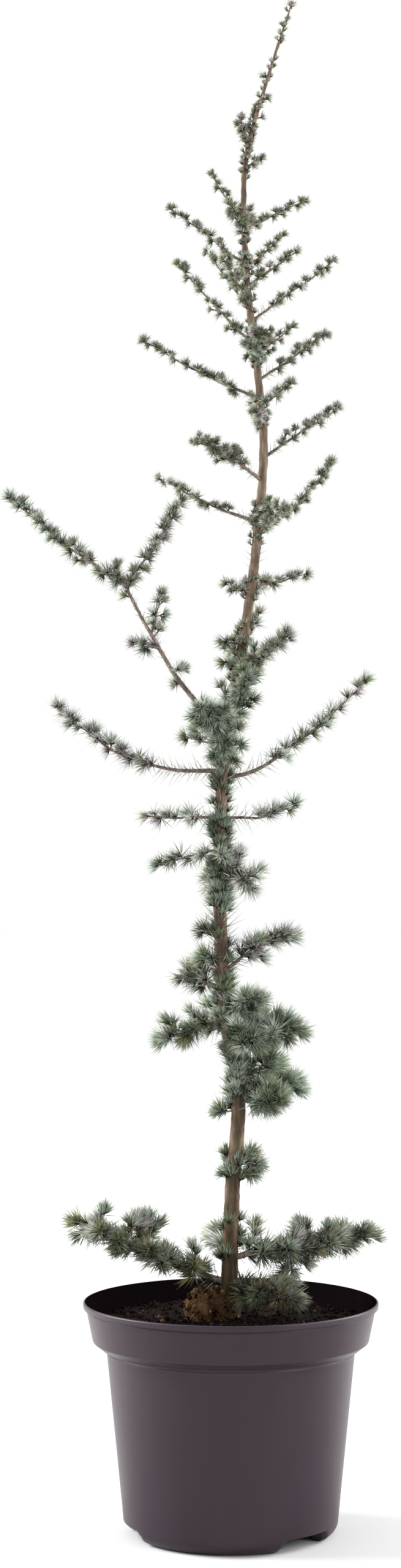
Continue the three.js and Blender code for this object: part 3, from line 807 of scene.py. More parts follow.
# %% [markdown]
# ## The plan of growth
#
# Each limb is told in a few numbers: the height where it leaves the trunk, the side it leaves to,
# how far it reaches, how much it rises on the way, how it curls, and how thick its foliage is.
# The CAD solids were made from such numbers too, and these keep the needles to the room that each
# solid takes up. Angles are in degrees about the trunk, 0 to the right and 90 to the back; lengths
# are in mm. A curl above 0 turns up towards the tip, and one below 0 arches over. The last number,
# full, says how many side twigs it has to the centimetre. Chance could place the limbs as well, but
# then it would be another tree: only what is finer than a limb is left to the rule further down.

# %% The boughs
Limb = namedtuple("Limb", "height side reach rise curl girth full", defaults=[0])
Bough = namedtuple("Bough", "limb bare stout")  # bare: length of its foot; stout: radius there

BOUGHS = {
    "low_left": Bough(Limb(235, 182, 158, 63, 0.1, 17, 0.6), 22, 3.4),
    "low_right": Bough(Limb(258, 2, 147, 20, -0.6, 16, 0.9), 12, 3.4),
    "lower_left": Bough(Limb(483, 185, 72, -24, 0.3, 13, 1.3), 16, 2.2),
    "lower_right": Bough(Limb(526, -8, 74, 36, -1.2, 15, 1.0), 22, 2.2),
    "middle_left": Bough(Limb(674, 190, 80, 2, 0, 9, 0.2), 18, 1.8),
    "middle_right": Bough(Limb(674, -10, 82, 18, 2, 8, 0.2), 34, 1.8),
    "long_left": Bough(Limb(718, 178, 166, 71, 1.6, 8.5, 0.5), 64, 2.4),
    "long_right": Bough(Limb(712, 5, 144, 101, 0.65, 8, 0.2), 50, 2.4),
    "upswept_left": Bough(Limb(952, 170, 100, 46, 0.1, 7.5, 0.4), 24, 2),
    "front_left": Bough(Limb(992, 215, 79, 34, -0.3, 12, 3.6), 20, 2),
    "slender_right": Bough(Limb(1014, 8, 76, 51, 0, 7.5, 0.8), 18, 1.7),
    "slender_left": Bough(Limb(1069, 175, 116, 59, 0.1, 7.5, 0.6), 17, 1.7),
    "high_right": Bough(Limb(1087, 15, 69, 49, 0.05, 8, 1.6), 18, 1.6),
    "high_left": Bough(Limb(1123, 195, 78, 75, 0.2, 7, 0.4), 15, 1.5),
    "crown_right": Bough(Limb(1143, 5, 82, 61, 0.05, 7, 0.4), 22, 1.4),
    "crown_left": Bough(Limb(1196, 185, 76, 55, 0, 6.5, 0.3), 18, 1.3),
}

# One bough on the left forks into two arms. Its small tufts start part-way along the stem.
FORK_STEM = Bough(Limb(752, 183, 96, 142, 0.3, 6), 96, 3)
FORK_ARMS = {
    "forked_outer": Limb(0, 181, 115, 86, 0.1, 8, 0.9),
    "forked_inner": Limb(0, 3, 58, 87, 0.2, 8, 0.9),
}
FORK_TUFTS = [  # share of the way along the stem, and the shoot
    (0.98, Limb(0, -60, 12, 12, 0, 7, 1)), (0.98, Limb(0, 120, 13, 10, 0, 7, 1)),
    (0.74, Limb(0, 20, 12, 46, 0, 8, 0.9)), (0.66, Limb(0, 175, 32, 6, 0, 7, 0.6)),
    (0.96, Limb(0, -90, 8, 10, 0, 7, 1)), (0.93, Limb(0, 170, 8, 4, 0, 7, 1)),
    (0.72, Limb(0, -30, 10, 12, 0, 7)), (0.52, Limb(0, -20, 12, 7, 0, 6, 0.8)),
    (0.43, Limb(0, 190, 9, 3, 0, 6, 0.8)), (0.28, Limb(0, 10, 6, 4, 0, 6)),
]
print(f"{len(BOUGHS)} boughs, and one that forks")

# %% The shoots straight on the trunk
WHORLS = {
    "low_front": [Limb(238, -50, 98, -9, 0, 12, 0.9)],
    "low_back": [Limb(266, 96, 118, 2, 0.4, 9, 0.8), Limb(284, 190, 10, 6, 0, 7, 0.3)],
    "tufts": [
        Limb(338, 190, 14, 0, 0, 8, 0.4), Limb(345, -5, 29, 6, 0, 13, 4),
        Limb(337, -40, 24, 2, 0, 11, 3), Limb(350, 22, 25, 6, 0, 11, 3),
    ],
    "heavy_right": [
        Limb(411, 12, 66, 15, 0.2, 17, 3), Limb(405, -30, 56, 6, 0, 14, 2.4),
        Limb(397, 188, 33, -1, 0, 6, 0.2), Limb(434, -6, 50, 10, 0.2, 14, 2.0),
    ],
    "heavy_front": [
        Limb(463, -30, 77, 18, 0, 19, 2.4), Limb(466, -62, 60, 4, 0, 15, 2.0),
        Limb(496, -45, 54, 10, 0, 14, 1.8), Limb(478, 95, 104, 6, 0.3, 13, 1.0),
    ],
    "short_left": [
        Limb(514, 165, 47, 14, 0, 13, 1.8), Limb(540, 200, 32, 2, 0, 11, 1.2),
        Limb(560, 185, 29, 10, 0, 9, 0.6),
    ],
    "short_right": [
        Limb(616, -42, 56, 4, 0, 14, 1.4), Limb(636, -85, 30, 6, 0, 8, 1.0),
        Limb(604, 95, 98, 16, 0.3, 11, 0.8),
    ],
    "drooping_left": [Limb(645, 170, 70, -18, 0, 8.5, 0.2)],
    "blue_front": [Limb(735, -99, 100, 46, 0.2, 22, 2.2), Limb(764, -70, 60, 46, 0, 15, 1.8)],
    "broad_back": [Limb(742, 86, 128, 40, 0.3, 13, 0.9)],
    "dense_right": [
        Limb(811, -40, 68, 38, 0.3, 12, 1.7), Limb(838, 185, 28, 3, 0, 6),
        Limb(822, 195, 24, -2, 0, 6), Limb(845, 30, 20, 32, 0.5, 5.5),
        Limb(818, 92, 112, 34, 0.3, 11, 0.8),
    ],
    "small_pair": [
        Limb(891, 12, 60, 16, 0, 6, 0.4), Limb(885, 165, 30, 13, 0, 7, 0.6),
        Limb(886, 75, 70, 20, 0.2, 7, 0.4),
    ],
    "upswept_right": [
        Limb(946, -10, 75, 70, 0.6, 8.5, 1.2), Limb(942, -55, 46, 26, 0, 13, 2.4),
        Limb(948, 84, 108, 38, 0.3, 9, 0.5),
    ],
    "short_front": [
        Limb(1063, -45, 45, 20, 0, 8, 0.8), Limb(1048, -105, 30, 8, 0, 8, 0.8),
        Limb(1046, 95, 92, 36, 0.2, 8, 0.5),
    ],
    "green_front": [
        Limb(1106, -85, 44, 24, 0, 14, 3.0), Limb(1111, -30, 44, 27, 0.1, 7.5, 0.6),
        Limb(1108, 85, 78, 34, 0.2, 8, 0.5),
    ],
    "inner_left": [Limb(1152, 150, 51, 65, 0, 6, 0.4), Limb(1158, 230, 42, 42, 0, 8.5, 1.0)],
    "upper_pair": [
        Limb(1195, 35, 48, 37, 0.2, 6, 0.4), Limb(1175, -25, 55, 32, -0.1, 6.5, 0.6),
        Limb(1178, 98, 52, 32, 0, 6.5, 0.4),
    ],
    "top_whorl": [
        Limb(1230, 8, 63, 29, -0.1, 6, 0.4), Limb(1232, 160, 35, 55, 0, 5.5, 0.4),
        Limb(1221, 238, 30, 32, 0, 5.5, 0.6), Limb(1226, 80, 42, 34, 0, 5.5, 0.4),
    ],
    "leader": [
        Limb(1288, 10, 20, 12, 0, 5, 0.8), Limb(1303, 170, 7, 37, 0, 5.5, 2.4),
        Limb(1334, 0, 10, 3, 0, 4, 0.8), Limb(1352, 5, 11, 2, 0, 4, 0.8),
        Limb(1373, 178, 9, 2, 0, 4, 0.8),
    ],
}
print(f"{sum(len(limbs) for limbs in WHORLS.values())} shoots in {len(WHORLS)} masses")

# %% Side shoots of the two lowest boughs
# Both spread into fans, whose shoots start so far out, as a share of the bough.
FAN_PLACES = (0.34, 0.5, 0.64, 0.8)
FAN_TURN = 52  # degrees to either side by turns
FAN_REACH = {"low_left": 40, "low_right": 34}  # how far one would reach from the bough's foot
# Single ones, where the foliage stands up or hangs: the share, and the shoot.
SIDE_SHOOTS = {
    "low_left": [
        (0.30, Limb(0, -50, 26, 8, 0, 10, 1.0)), (0.50, Limb(0, -60, 24, -12, 0, 10, 1.0)),
        (0.54, Limb(0, 80, 16, 44, 0, 11, 1.2)), (0.64, Limb(0, -100, 14, 36, 0, 10, 1.0)),
        (0.74, Limb(0, -80, 14, -4, 0, 12, 1.6)), (0.84, Limb(0, -110, 16, 14, 0, 12, 1.6)),
    ],
    "low_right": [
        (0.56, Limb(0, 100, 16, 26, 0, 10, 1.0)), (0.70, Limb(0, -80, 14, 26, 0, 10, 1.0)),
        (0.80, Limb(0, 60, 18, 16, 0, 9, 0.8)), (0.44, Limb(0, -75, 12, -64, 0, 9, 0.8)),
    ],
}
print(f"{sum(len(shoots) for shoots in SIDE_SHOOTS.values())} side shoots beside the fans")

# %% Rosettes straight on the trunk
COLLARS = [  # mass that they belong to, lowest and highest height, and spurs to the centimetre
    ("low_back", 250, 300, 2), ("tufts", 328, 356, 5), ("heavy_right", 392, 438, 9),
    ("heavy_front", 436, 506, 6), ("short_left", 506, 572, 3.5), ("short_right", 580, 672, 10),
    ("drooping_left", 676, 724, 6), ("blue_front", 722, 784, 12), ("dense_right", 800, 860, 7),
    ("small_pair", 876, 902, 5), ("upswept_right", 930, 972, 10), ("short_front", 1038, 1070, 8),
    ("green_front", 1094, 1134, 13), ("inner_left", 1140, 1168, 6), ("upper_pair", 1170, 1204, 10),
    ("top_whorl", 1214, 1252, 10), ("leader", 1276, 1340, 8), ("leader", 1340, 1436, 4.2),
]
print(f"{len(COLLARS)} stretches of trunk with rosettes")

# %% [markdown]
# ## Lines of growth
#
# A limb's line starts on the trunk's own centre line, so the two always meet. It runs out by its
# reach and up by its rise, and a small seeded sway keeps it from being ruler straight. Points are
# then set out along it at even steps of true length, because spurs sit at even steps.


# %% Paths
UP = np.array([0.0, 0.0, 1.0])
MOST_CUT = 0.45  # share of a limb that its needles may stand past the wood, at the most
LEAST_POINTS = 8  # of a limb's line


def unit(vectors):
    """The same directions, one unit long."""
    vectors = np.asarray(vectors, float)
    return vectors / np.maximum(np.linalg.norm(vectors, axis=-1, keepdims=True), 1e-9)


def heading(side):
    """The level direction of a compass angle in degrees."""
    turn = math.radians(side)
    return np.array([math.cos(turn), math.sin(turn), 0.0])


def climb(share, curl):
    """How much of its rise a limb has made, part-way out."""
    return share ** (1 + curl) if curl >= 0 else 1 - (1 - share) ** (1 - curl)


def two_waves(share, size, pace, starts):
    """A long wave, and one of half its size that is shorter."""
    long_wave = size * np.sin(pace * math.pi * share + starts[0])
    return long_wave + 0.5 * size * np.sin(5 * math.pi * share + starts[1])


def limb_line(foot, limb, rng, sway=0.012, short=0):
    """Points along a limb, about 1 mm apart, in metres. The last is so many mm short of its tip."""
    length = math.hypot(limb.reach, limb.rise)
    end = 1 - min(short / length, MOST_CUT)
    share = np.linspace(0, end, max(LEAST_POINTS, int(length)))
    out = heading(limb.side)
    starts = rng.random(4) * 2 * math.pi
    size = sway * limb.reach * np.sin(math.pi * share)
    aside = two_waves(share, size, 2.3, starts[:2])  # the paces differ, or it would sway in a plane
    height = limb.rise * climb(share, limb.curl) + two_waves(share, size, 2.1, starts[2:])
    run = np.outer(limb.reach * share, out) + np.outer(height, UP)
    return foot + (run + np.outer(aside, np.cross(UP, out))) * MM


def at_steps(line, start, spacing):
    """Even steps along a line, from so far out: share of its length, point and direction."""
    legs = np.linalg.norm(np.diff(line, axis=0), axis=1)
    run = np.concatenate([[0], np.cumsum(legs)])

    def points_at(lengths):
        return np.stack([np.interp(lengths, run, line[:, k]) for k in range(3)], axis=1)

    stops = np.arange(start, run[-1], spacing)
    return stops / run[-1], points_at(stops), unit(points_at(stops + MM) - points_at(stops - MM))


for curl in (1.6, 0, -1.2):
    print(f"half-way out, a limb of curl {curl} has made {climb(0.5, curl):.2f} of its rise")


# %% [markdown]
# ## Needles
#
# A needle is a thin three-sided spindle with a slight bend, about a millimetre thick. It starts as
# a cone of three sides, whose base is poked out to a second point. That makes six triangles, which
# is few enough for more than a hundred thousand needles. Its foot has the dark tone of the shaded
# inside, and its outer part has the tone of its spray. Only then is it copied.

# %% One needle
NEEDLE_WAIST = 0.3  # share of the length where a needle is thickest
NEEDLE_BEND = 0.12  # sideways at the tip, as a share of the length


def needle_shape():
    """A spindle one unit long, and one unit in radius at its waist."""
    shape = bmesh.new()
    length = 1 - NEEDLE_WAIST
    bmesh.ops.create_cone(shape, segments=3, radius1=1, radius2=0, depth=length, cap_ends=True)
    bmesh.ops.remove_doubles(shape, verts=shape.verts, dist=1e-4)
    bmesh.ops.translate(shape, verts=shape.verts, vec=(0, 0, NEEDLE_WAIST + length / 2))
    base = min(shape.faces, key=lambda face: face.calc_center_median().z)
    poked = bmesh.ops.poke(shape, faces=[base])
    bmesh.ops.translate(shape, verts=poked["verts"], vec=(0, 0, -NEEDLE_WAIST))
    return shape


needle = Stamp(needle_shape(), foot_below=NEEDLE_WAIST)
print(f"one needle: {len(needle.faces)} triangles")

# %% [markdown]
# ## Tones of the needles
#
# A blue cedar isn't one colour. A waxy bloom makes young needles bluish white, older ones are green
# or olive, and inside the crown they are dark and brownish, partly as painted shade. Every needle
# takes one of ten plain tones. Which of them a spray may take depends on where it grows, so each
# part of the crown has a palette, with more of the pale tones where the sprays are thin and stand in
# the light.


# %% Finishes of the needles
LIFT = 1.25  # how much paler and darker a tone gets


def needle_finish(name, colour):
    """A tone with a little life in it: paler and darker by small patches."""
    finish = Finish(name, {"Specular IOR Level": 0.25})
    patches = finish.grain(500, detail=2)
    paler = tuple(min(c * LIFT, 1) for c in colour[:3]) + (1,)
    darker = tuple(c / LIFT for c in colour[:3]) + (1,)
    return finish.surface(finish.mix(patches, darker, paler), 0.55 + patches * 0.15)


# The shade tone at every needle's foot is painted shade, the dark inside of each rosette.
TONES = {  # the first is the tone of every needle's foot
    "shade": linear(66, 67, 55),
    "brown": linear(86, 72, 50),
    "deep": linear(75, 82, 62),
    "green": linear(100, 110, 82),
    "blue": linear(115, 127, 113),
    "glaucous": linear(156, 163, 151),
    "grey": linear(124, 123, 107),
    "olive": linear(118, 116, 76),
    "violet": linear(144, 137, 138),
    "pale": linear(184, 190, 180),
}
needle_finishes = [needle_finish("needle_" + name, colour) for name, colour in TONES.items()]
TONE_NUMBERS = {name: number for number, name in enumerate(TONES)}
print(f"{len(TONES)} tones:", ", ".join(TONES))

# %% Palettes
PALETTES = {  # which tones a spray may have, and how often; first by height, from the top down
    "top": {"grey": 5, "green": 3, "deep": 1, "violet": 1, "glaucous": 2},
    "upper": {"grey": 5, "deep": 2, "green": 2, "blue": 2, "violet": 1, "glaucous": 2},
    "middle": {"blue": 3, "grey": 3, "deep": 1, "glaucous": 4, "green": 1, "violet": 2, "pale": 2},
    "low": {"blue": 4, "deep": 4, "green": 2, "glaucous": 4, "olive": 2, "violet": 2, "shade": 3},
    # and three for places that differ from what is beside them
    "front": {"blue": 5, "green": 2, "deep": 3, "glaucous": 2, "grey": 1},
    # its dark tones are painted shade, for the mass under the lowest boughs
    "shaded": {"shade": 5, "deep": 4, "brown": 3, "green": 1},
    "trunk": {"deep": 4, "green": 4, "blue": 3, "shade": 1},
}
PALETTES["high"] = PALETTES["upper"]
PALETTES["lower"] = {**PALETTES["low"], "pale": 4}
SHARED_TONE = 0.5  # how many of a shoot's sprays have the same tone
OWN_TONE = 0.28  # how many of a spray's needles have a tone of their own


def choices_of(palette):
    """The tone numbers of a palette and the chance of each."""
    names, weights = zip(*PALETTES[palette].items())
    return [TONE_NUMBERS[name] for name in names], np.array(weights) / sum(weights)


print(f"{len(PALETTES)} palettes")


# %% [markdown]
# ## Rosettes on spurs
#
# On a cedar the needles of older wood stand in rosettes, each on a short woody spur, and the spurs
# sit at even steps, turning round the twig by the golden angle, most of them on its upper side. New
# growth has single needles in between. This is the whole branching rule: a limb, side twigs where
# the foliage is thick, spurs along both, and a rosette on each spur. Each number is drawn from a
# seeded generator, so the tree is the same every time. Nothing is made a mesh yet. Needles are only
# noted down, and so are the lines of the wood, because one big mesh is far quicker than many.

# %% Needles noted down
NEEDLE_RADIUS = 0.46 * MM
LONG_NEEDLE = 20 * MM  # from this length on, a needle has its full thickness


class Sprays:
    """Needles of one part of the crown, gathered before they become one mesh."""

    def __init__(self, palette):
        self.numbers, self.chances = choices_of(palette)
        self.rows = []

    def tones(self, rng, count):
        """Tone numbers for so many sprays, some of which share one, as on one shoot."""
        tones = rng.choice(self.numbers, count + 1, p=self.chances)
        return np.where(rng.random(count) < SHARED_TONE, tones[-1], tones[:-1])

    def add(self, feet, ways, bends, lengths, tone, rng, width=1.0):
        """Notes needles down. Some take a tone of their own, which softens the spray."""
        own = rng.choice(self.numbers, len(lengths), p=self.chances)
        tones = np.where(rng.random(len(lengths)) < OWN_TONE, own, tone)
        feet, bends = np.broadcast_to(feet, ways.shape), np.broadcast_to(bends, ways.shape)
        self.rows.append((feet, ways, bends, lengths, np.full(len(lengths), width), tones))

    def mesh(self, name):
        """Every needle as a copy of the one shape, turned to its way and stretched."""
        feet, ways, bends, lengths, widths, tones = (
            np.concatenate(column) for column in zip(*self.rows))
        across = unit(bends - ways * (bends * ways).sum(1, keepdims=True))
        third = np.cross(ways, across)
        thick = NEEDLE_RADIUS * widths * (0.85 + 0.3 * np.clip(lengths / LONG_NEEDLE, 0, 1))
        turns = np.stack(
            [across * thick[:, None], third * thick[:, None], ways * lengths[:, None]], axis=2)
        turns[:, :, 2] += across * (NEEDLE_BEND * lengths)[:, None]
        return copies_of(name, needle, feet, turns, tones)


# %% Rosettes and single needles
GOLDEN_ANGLE = math.pi * (3 - math.sqrt(5))
NARROWEST, WIDEST = 8, 84  # degrees between a spur and the needles of its rosette
SPUR_LENGTH = 2.2 * MM
SPUR_RADII = np.array([0.8, 0.7]) * MM  # at its foot and its tip
NEEDLE_SINK = 0.4  # mm, how deep a needle's foot is in its spur
bough_lines, twig_lines, spur_lines = [], [], []


def rosette_ways(out, count, rng):
    """Directions of a rosette's needles, about the way that its spur points."""
    share = (np.arange(count) + rng.random(count)) / count
    tilt = np.radians(NARROWEST + (WIDEST - NARROWEST) * np.sqrt(share))
    turn = GOLDEN_ANGLE * np.arange(count) + 2 * math.pi * rng.random()
    turn = turn + 0.3 * rng.normal(size=count)
    side = unit(np.cross(out, UP + 0.3 * rng.normal(size=3)))
    third = np.cross(out, side)
    around = np.outer(np.cos(turn), side) + np.outer(np.sin(turn), third)
    stray = 0.12 * rng.normal(size=(count, 3))
    return np.cos(tilt)[:, None] * out + np.sin(tilt)[:, None] * around + stray


def rosette(sprays, foot, out, ahead, length, count, tone, rng, lean=0.3):
    """A spur with its whorl of needles, which lean ahead along the twig."""
    tip = foot + out * SPUR_LENGTH
    spur_lines.append((np.array([foot, tip]), SPUR_RADII))
    ways = unit(rosette_ways(out, count, rng) + lean * ahead)
    lengths = length * (0.66 + 0.46 * rng.random(count))
    sprays.add(tip - out * NEEDLE_SINK * MM, ways, ahead, lengths, tone, rng)


def single_needles(sprays, line, start, spacing, length, tone, rng, lean=0.9):
    """Single needles spiralling up a stretch of twig, each at a length of its own."""
    _, points, aheads = at_steps(line, start, spacing)
    count = len(points)
    if not count:
        return
    side = unit(np.cross(aheads, UP))
    third = np.cross(aheads, side)
    turn = GOLDEN_ANGLE * np.arange(count) + 2 * math.pi * rng.random()
    out = np.cos(turn)[:, None] * side + np.sin(turn)[:, None] * third
    ways = unit(out + lean * aheads * (0.5 + rng.random((count, 1))))
    lengths = length * (0.45 + 0.7 * rng.random(count))
    ways = ways + 0.1 * rng.normal(size=ways.shape)
    sprays.add(points, ways, aheads, lengths, tone, rng, width=0.7)


# %% Sizes by height
SIZE_HEIGHTS = [240, 560, 760, 950, 1440]  # mm
NEEDLE_LENGTHS = [26, 22, 17, 9.5, 7.5]  # mm: longest low down, where the foliage is sheltered
NEEDLE_COUNTS = [56, 56, 44, 56, 50]  # in one rosette
SPUR_SPACINGS = [8, 7, 7, 6, 5]  # mm along the twig
GAPS = [0.05, 0.05, 0.25, 0.4, 0.2]  # chance that a spur near the foot of a twig is missing
SINGLE_SPACINGS = [1.0, 1.0, 1.2, 1.8, 1.6]  # mm between single needles
LEANS = [0.85, 0.75, 0.45, 0.3, 0.3]  # how far needles lean ahead along their twig
TIP_SHARE = 0.6  # of a needle's length


def by_height(height, values):
    """One of the rows above at a height in mm."""
    return float(np.interp(height, SIZE_HEIGHTS, values))


def needle_length(height):
    """In metres."""
    return by_height(height, NEEDLE_LENGTHS) * MM


def needle_count(height):
    """In one rosette."""
    return int(by_height(height, NEEDLE_COUNTS))


def tip_needles(height):
    """How far the needles at a tip stand past the wood, in mm."""
    return TIP_SHARE * needle_length(height) / MM


print(f"needles from {min(NEEDLE_LENGTHS)} to {max(NEEDLE_LENGTHS)} mm long")

# %% The branching rule
UPWARD = 0.6  # how strongly spurs are drawn to the upper side of a twig
TAPER = 0.85  # 1 is a straight cone; less keeps the tip slender for longer
TWIG_TURN, TWIG_STRAY = 50, 12  # degrees off the limb's own way
TWIG_SPACING = 10 * MM  # divided by the limb's fullness


def wood_along(line, stout, fine=0.45 * MM, every=1):
    """A line and its radii, from stout at its foot to fine at its tip, for a mesh of tubes."""
    share = np.linspace(0, 1, len(line))
    radii = stout + (fine - stout) * share ** TAPER
    return line[::every], radii[::every]


def dress(sprays, line, start, height, rng, shorter=1.0, longest=math.inf):
    """Spurs with rosettes along a twig, from so far out to its tip."""
    length, count = min(needle_length(height) * shorter, longest), needle_count(height)
    lean = by_height(height, LEANS)
    shares, points, aheads = at_steps(line, start, by_height(height, SPUR_SPACINGS) * MM)
    tones = sprays.tones(rng, len(points) + 1)
    turn = 2 * math.pi * rng.random()
    for share, point, ahead, tone in zip(shares, points, aheads, tones):
        turn += GOLDEN_ANGLE
        if rng.random() < by_height(height, GAPS) * (1 - share):
            continue
        side = unit(np.cross(ahead, UP))
        out = math.cos(turn) * side + math.sin(turn) * np.cross(side, ahead)
        out = unit(out + UPWARD * UP)
        size = length * (1 - 0.2 * share) * (0.85 + 0.3 * rng.random())
        rosette(sprays, point, out, ahead, size, count, tone, rng, lean)
    tip, ahead = line[-1], unit(line[-1] - line[-3])
    last = tip - ahead * 2 * MM
    rosette(sprays, last, ahead, ahead, length * 0.85, count, tones[-1], rng, lean)


def side_twigs(sprays, line, start, height, limb, rng):
    """Side twigs, left and right by turns, shorter towards the tip, each with its rosettes."""
    shares, points, aheads = at_steps(line, start, TWIG_SPACING / limb.full)
    for i, (share, point, ahead) in enumerate(zip(shares, points, aheads)):
        length = limb.girth * (1.65 - 1.1 * share) * (0.7 + 0.5 * rng.random())
        turn = math.radians(TWIG_TURN + TWIG_STRAY * rng.normal())
        roll = 0.75 * rng.normal() + (0 if i % 2 else math.pi)
        level = unit(np.cross(ahead, UP))
        aside = math.cos(roll) * level + math.sin(roll) * np.cross(level, ahead)
        way = unit(math.cos(turn) * ahead + math.sin(turn) * aside)
        reach = np.linspace(0, 1, max(5, int(length / 3)))
        lift = 0.15 * length * reach ** 2
        twig = point + (np.outer(length * reach, way) + np.outer(lift, UP)) * MM
        twig_lines.append(wood_along(twig, 0.85 * MM))
        dress(sprays, twig, 4 * MM, height, rng, shorter=0.85)


def clothe(sprays, line, bare, height, limb, rng):
    """Everything that grows along one shoot, past its bare foot."""
    length = min(needle_length(height), (limb.girth + 8) * MM)
    dress(sprays, line, bare + 3 * MM, height, rng, longest=length)
    tone = sprays.tones(rng, 1)[0]
    spacing = by_height(height, SINGLE_SPACINGS) * MM
    single_needles(sprays, line, bare, spacing, length * 0.8, tone, rng)
    if limb.full:
        side_twigs(sprays, line, bare + 5 * MM, height, limb, rng)


# %% [markdown]
# ## Growing the crown
#
# Now the plan is carried out. The crown is split by height into six zones, each of which becomes
# one mesh of needles, so that no piece is too heavy and each zone has its own mix of tones: bluish
# and long-needled below, greyer and finer towards the top. Three more meshes have tones that differ
# from what is beside them: the thick blue-green masses in front, the mass under the lowest boughs,
# which is in the shade, and the dark rosettes straight on the lower trunk.

# %% Zones of the crown
ZONES = {
    "low": (0, 430), "lower": (430, 580), "middle": (580, 790), "upper": (790, 960),
    "high": (960, 1120), "top": (1120, 2000),
}
APART = {  # masses that don't go with their zone
    "low_front": "shaded", "blue_front": "front", "heavy_front": "front", "heavy_right": "front",
}
sprays_of = {zone: Sprays(zone) for zone in (*ZONES, "shaded", "front", "trunk")}
nodes_of = {zone: [] for zone in sprays_of}  # the CAD solids that each one stands for
print("meshes of needles:", ", ".join(sprays_of))


def zone_at(height):
    """The zone of a height in mm."""
    return next(zone for zone, (low, high) in ZONES.items() if low <= height < high)


def zone_of(whorl):
    """The zone or the mesh apart that a mass on the trunk belongs to."""
    return APART.get(whorl) or zone_at(WHORLS[whorl][0].height)


def foot_at(limb):
    """Where a limb leaves the trunk's centre line."""
    return trunk_at(limb.height * MM)


def branch_off(sprays, line, place, limb, height, rng):
    """A shoot that starts part-way out along another limb."""
    foot = line[int(place * (len(line) - 1))]
    shoot = limb_line(foot, limb, rng, short=tip_needles(height))
    twig_lines.append(wood_along(shoot, (0.8 + 0.02 * limb.reach) * MM))
    clothe(sprays, shoot, 2 * MM, height, limb, rng)


def needles_so_far():
    """How many needles are noted down."""
    return sum(len(row[0]) for sprays in sprays_of.values() for row in sprays.rows)


# %% Boughs and what they carry
LEAST_BARE = 4  # points of a bough's line


def bare_foot(sprays, bough, line, rng):
    """Single needles on a bough's foot, which has no rosettes."""
    stretch = line[: max(LEAST_BARE, int(len(line) * bough.bare / bough.limb.reach))]
    length = needle_length(bough.limb.height) * 1.1
    tone = TONE_NUMBERS["glaucous"]
    single_needles(sprays, stretch, 6 * MM, 0.8 * MM, length, tone, rng, lean=0.4)


def fan(sprays, name, limb, line, rng):
    """Side shoots to the left and the right by turns, shorter towards the tip."""
    for i, place in enumerate(FAN_PLACES):
        reach = FAN_REACH[name] * (1.15 - 0.6 * place)
        side = limb.side + (FAN_TURN if i % 2 else -FAN_TURN)
        shoot = Limb(0, side, reach, 0.3 * reach, 0.2, 0.66 * limb.girth, limb.full)
        branch_off(sprays, line, place, shoot, limb.height, rng)


for number, (name, bough) in enumerate(BOUGHS.items()):
    rng = seeded("boughs", number)
    limb = bough.limb
    zone = zone_at(limb.height)
    sprays = sprays_of[zone]
    line = limb_line(foot_at(limb), limb, rng, short=tip_needles(limb.height))
    bough_lines.append(wood_along(line, bough.stout * MM, every=2))
    clothe(sprays, line, bough.bare * MM, limb.height, limb, rng)
    bare_foot(sprays, bough, line, rng)
    nodes_of[zone].append("foliage_" + name)
    if name in FAN_REACH:
        fan(sprays, name, limb, line, rng)
    for place, shoot in SIDE_SHOOTS.get(name, ()):
        branch_off(sprays, line, place, shoot, limb.height, rng)
print(f"{needles_so_far()} needles with the boughs")

# %% The forked bough
FORK_HEIGHT = 850  # mm, for the size of its needles
ARM_RADIUS = 1.5 * MM  # where the stem ends and the arms start
rng = seeded("fork")
fork_sprays = sprays_of["upper"]
stem = limb_line(foot_at(FORK_STEM.limb), FORK_STEM.limb, rng, sway=0.02)
bough_lines.append(wood_along(stem, FORK_STEM.stout * MM, fine=ARM_RADIUS))
single_needles(fork_sprays, stem, 20 * MM, 1.1 * MM, 9 * MM, TONE_NUMBERS["glaucous"], rng)
for arm in FORK_ARMS.values():
    line = limb_line(stem[-1], arm, rng, short=tip_needles(FORK_HEIGHT))
    bough_lines.append(wood_along(line, ARM_RADIUS))
    clothe(fork_sprays, line, 2 * MM, FORK_HEIGHT, arm, rng)
for place, tuft in FORK_TUFTS:
    branch_off(fork_sprays, stem, place, tuft, FORK_HEIGHT, rng)
nodes_of["upper"] += ["foliage_forked_outer", "foliage_forked_inner", "foliage_forked_tuft"]
print(f"{needles_so_far()} needles with the forked bough")

# %% Shoots on the trunk
for number, (name, limbs) in enumerate(WHORLS.items()):
    rng = seeded("shoots", number)
    zone = zone_of(name)
    for limb in limbs:
        line = limb_line(foot_at(limb), limb, rng, short=tip_needles(limb.height))
        twig_lines.append(wood_along(line, (0.9 + 0.012 * limb.reach) * MM, every=2))
        clear = trunk_radius(limb.height * MM) + 1 * MM
        clothe(sprays_of[zone], line, clear, limb.height, limb, rng)
    nodes_of[zone].append("foliage_" + name)
print(f"{needles_so_far()} needles with the shoots on the trunk")

# %% Rosettes on the trunk itself
ON_LOWER_TRUNK = ("low", "lower", "middle")  # the zones where they go with the trunk's palette
COLLAR_LENGTH = 0.62  # of the needles' length at that height
COLLAR_RISE = 0.35  # how steeply the spurs point up
for number, (name, low, high, density) in enumerate(COLLARS):
    rng = seeded("collars", number)
    zone = zone_of(name)
    sprays = sprays_of["trunk" if zone in ON_LOWER_TRUNK else zone]
    count = needle_count(low) * 3 // 4
    for i, tone in enumerate(sprays.tones(rng, int((high - low) / 10 * density))):
        height = (low + (high - low) * rng.random()) * MM
        turn = GOLDEN_ANGLE * i + 0.4 * rng.normal()
        out = unit([math.cos(turn), math.sin(turn), COLLAR_RISE])
        foot = trunk_at(height) + out * trunk_radius(height) * 0.9
        length = needle_length(height / MM) * COLLAR_LENGTH
        rosette(sprays, foot, out, UP, length, count, tone, rng, lean=1.0)
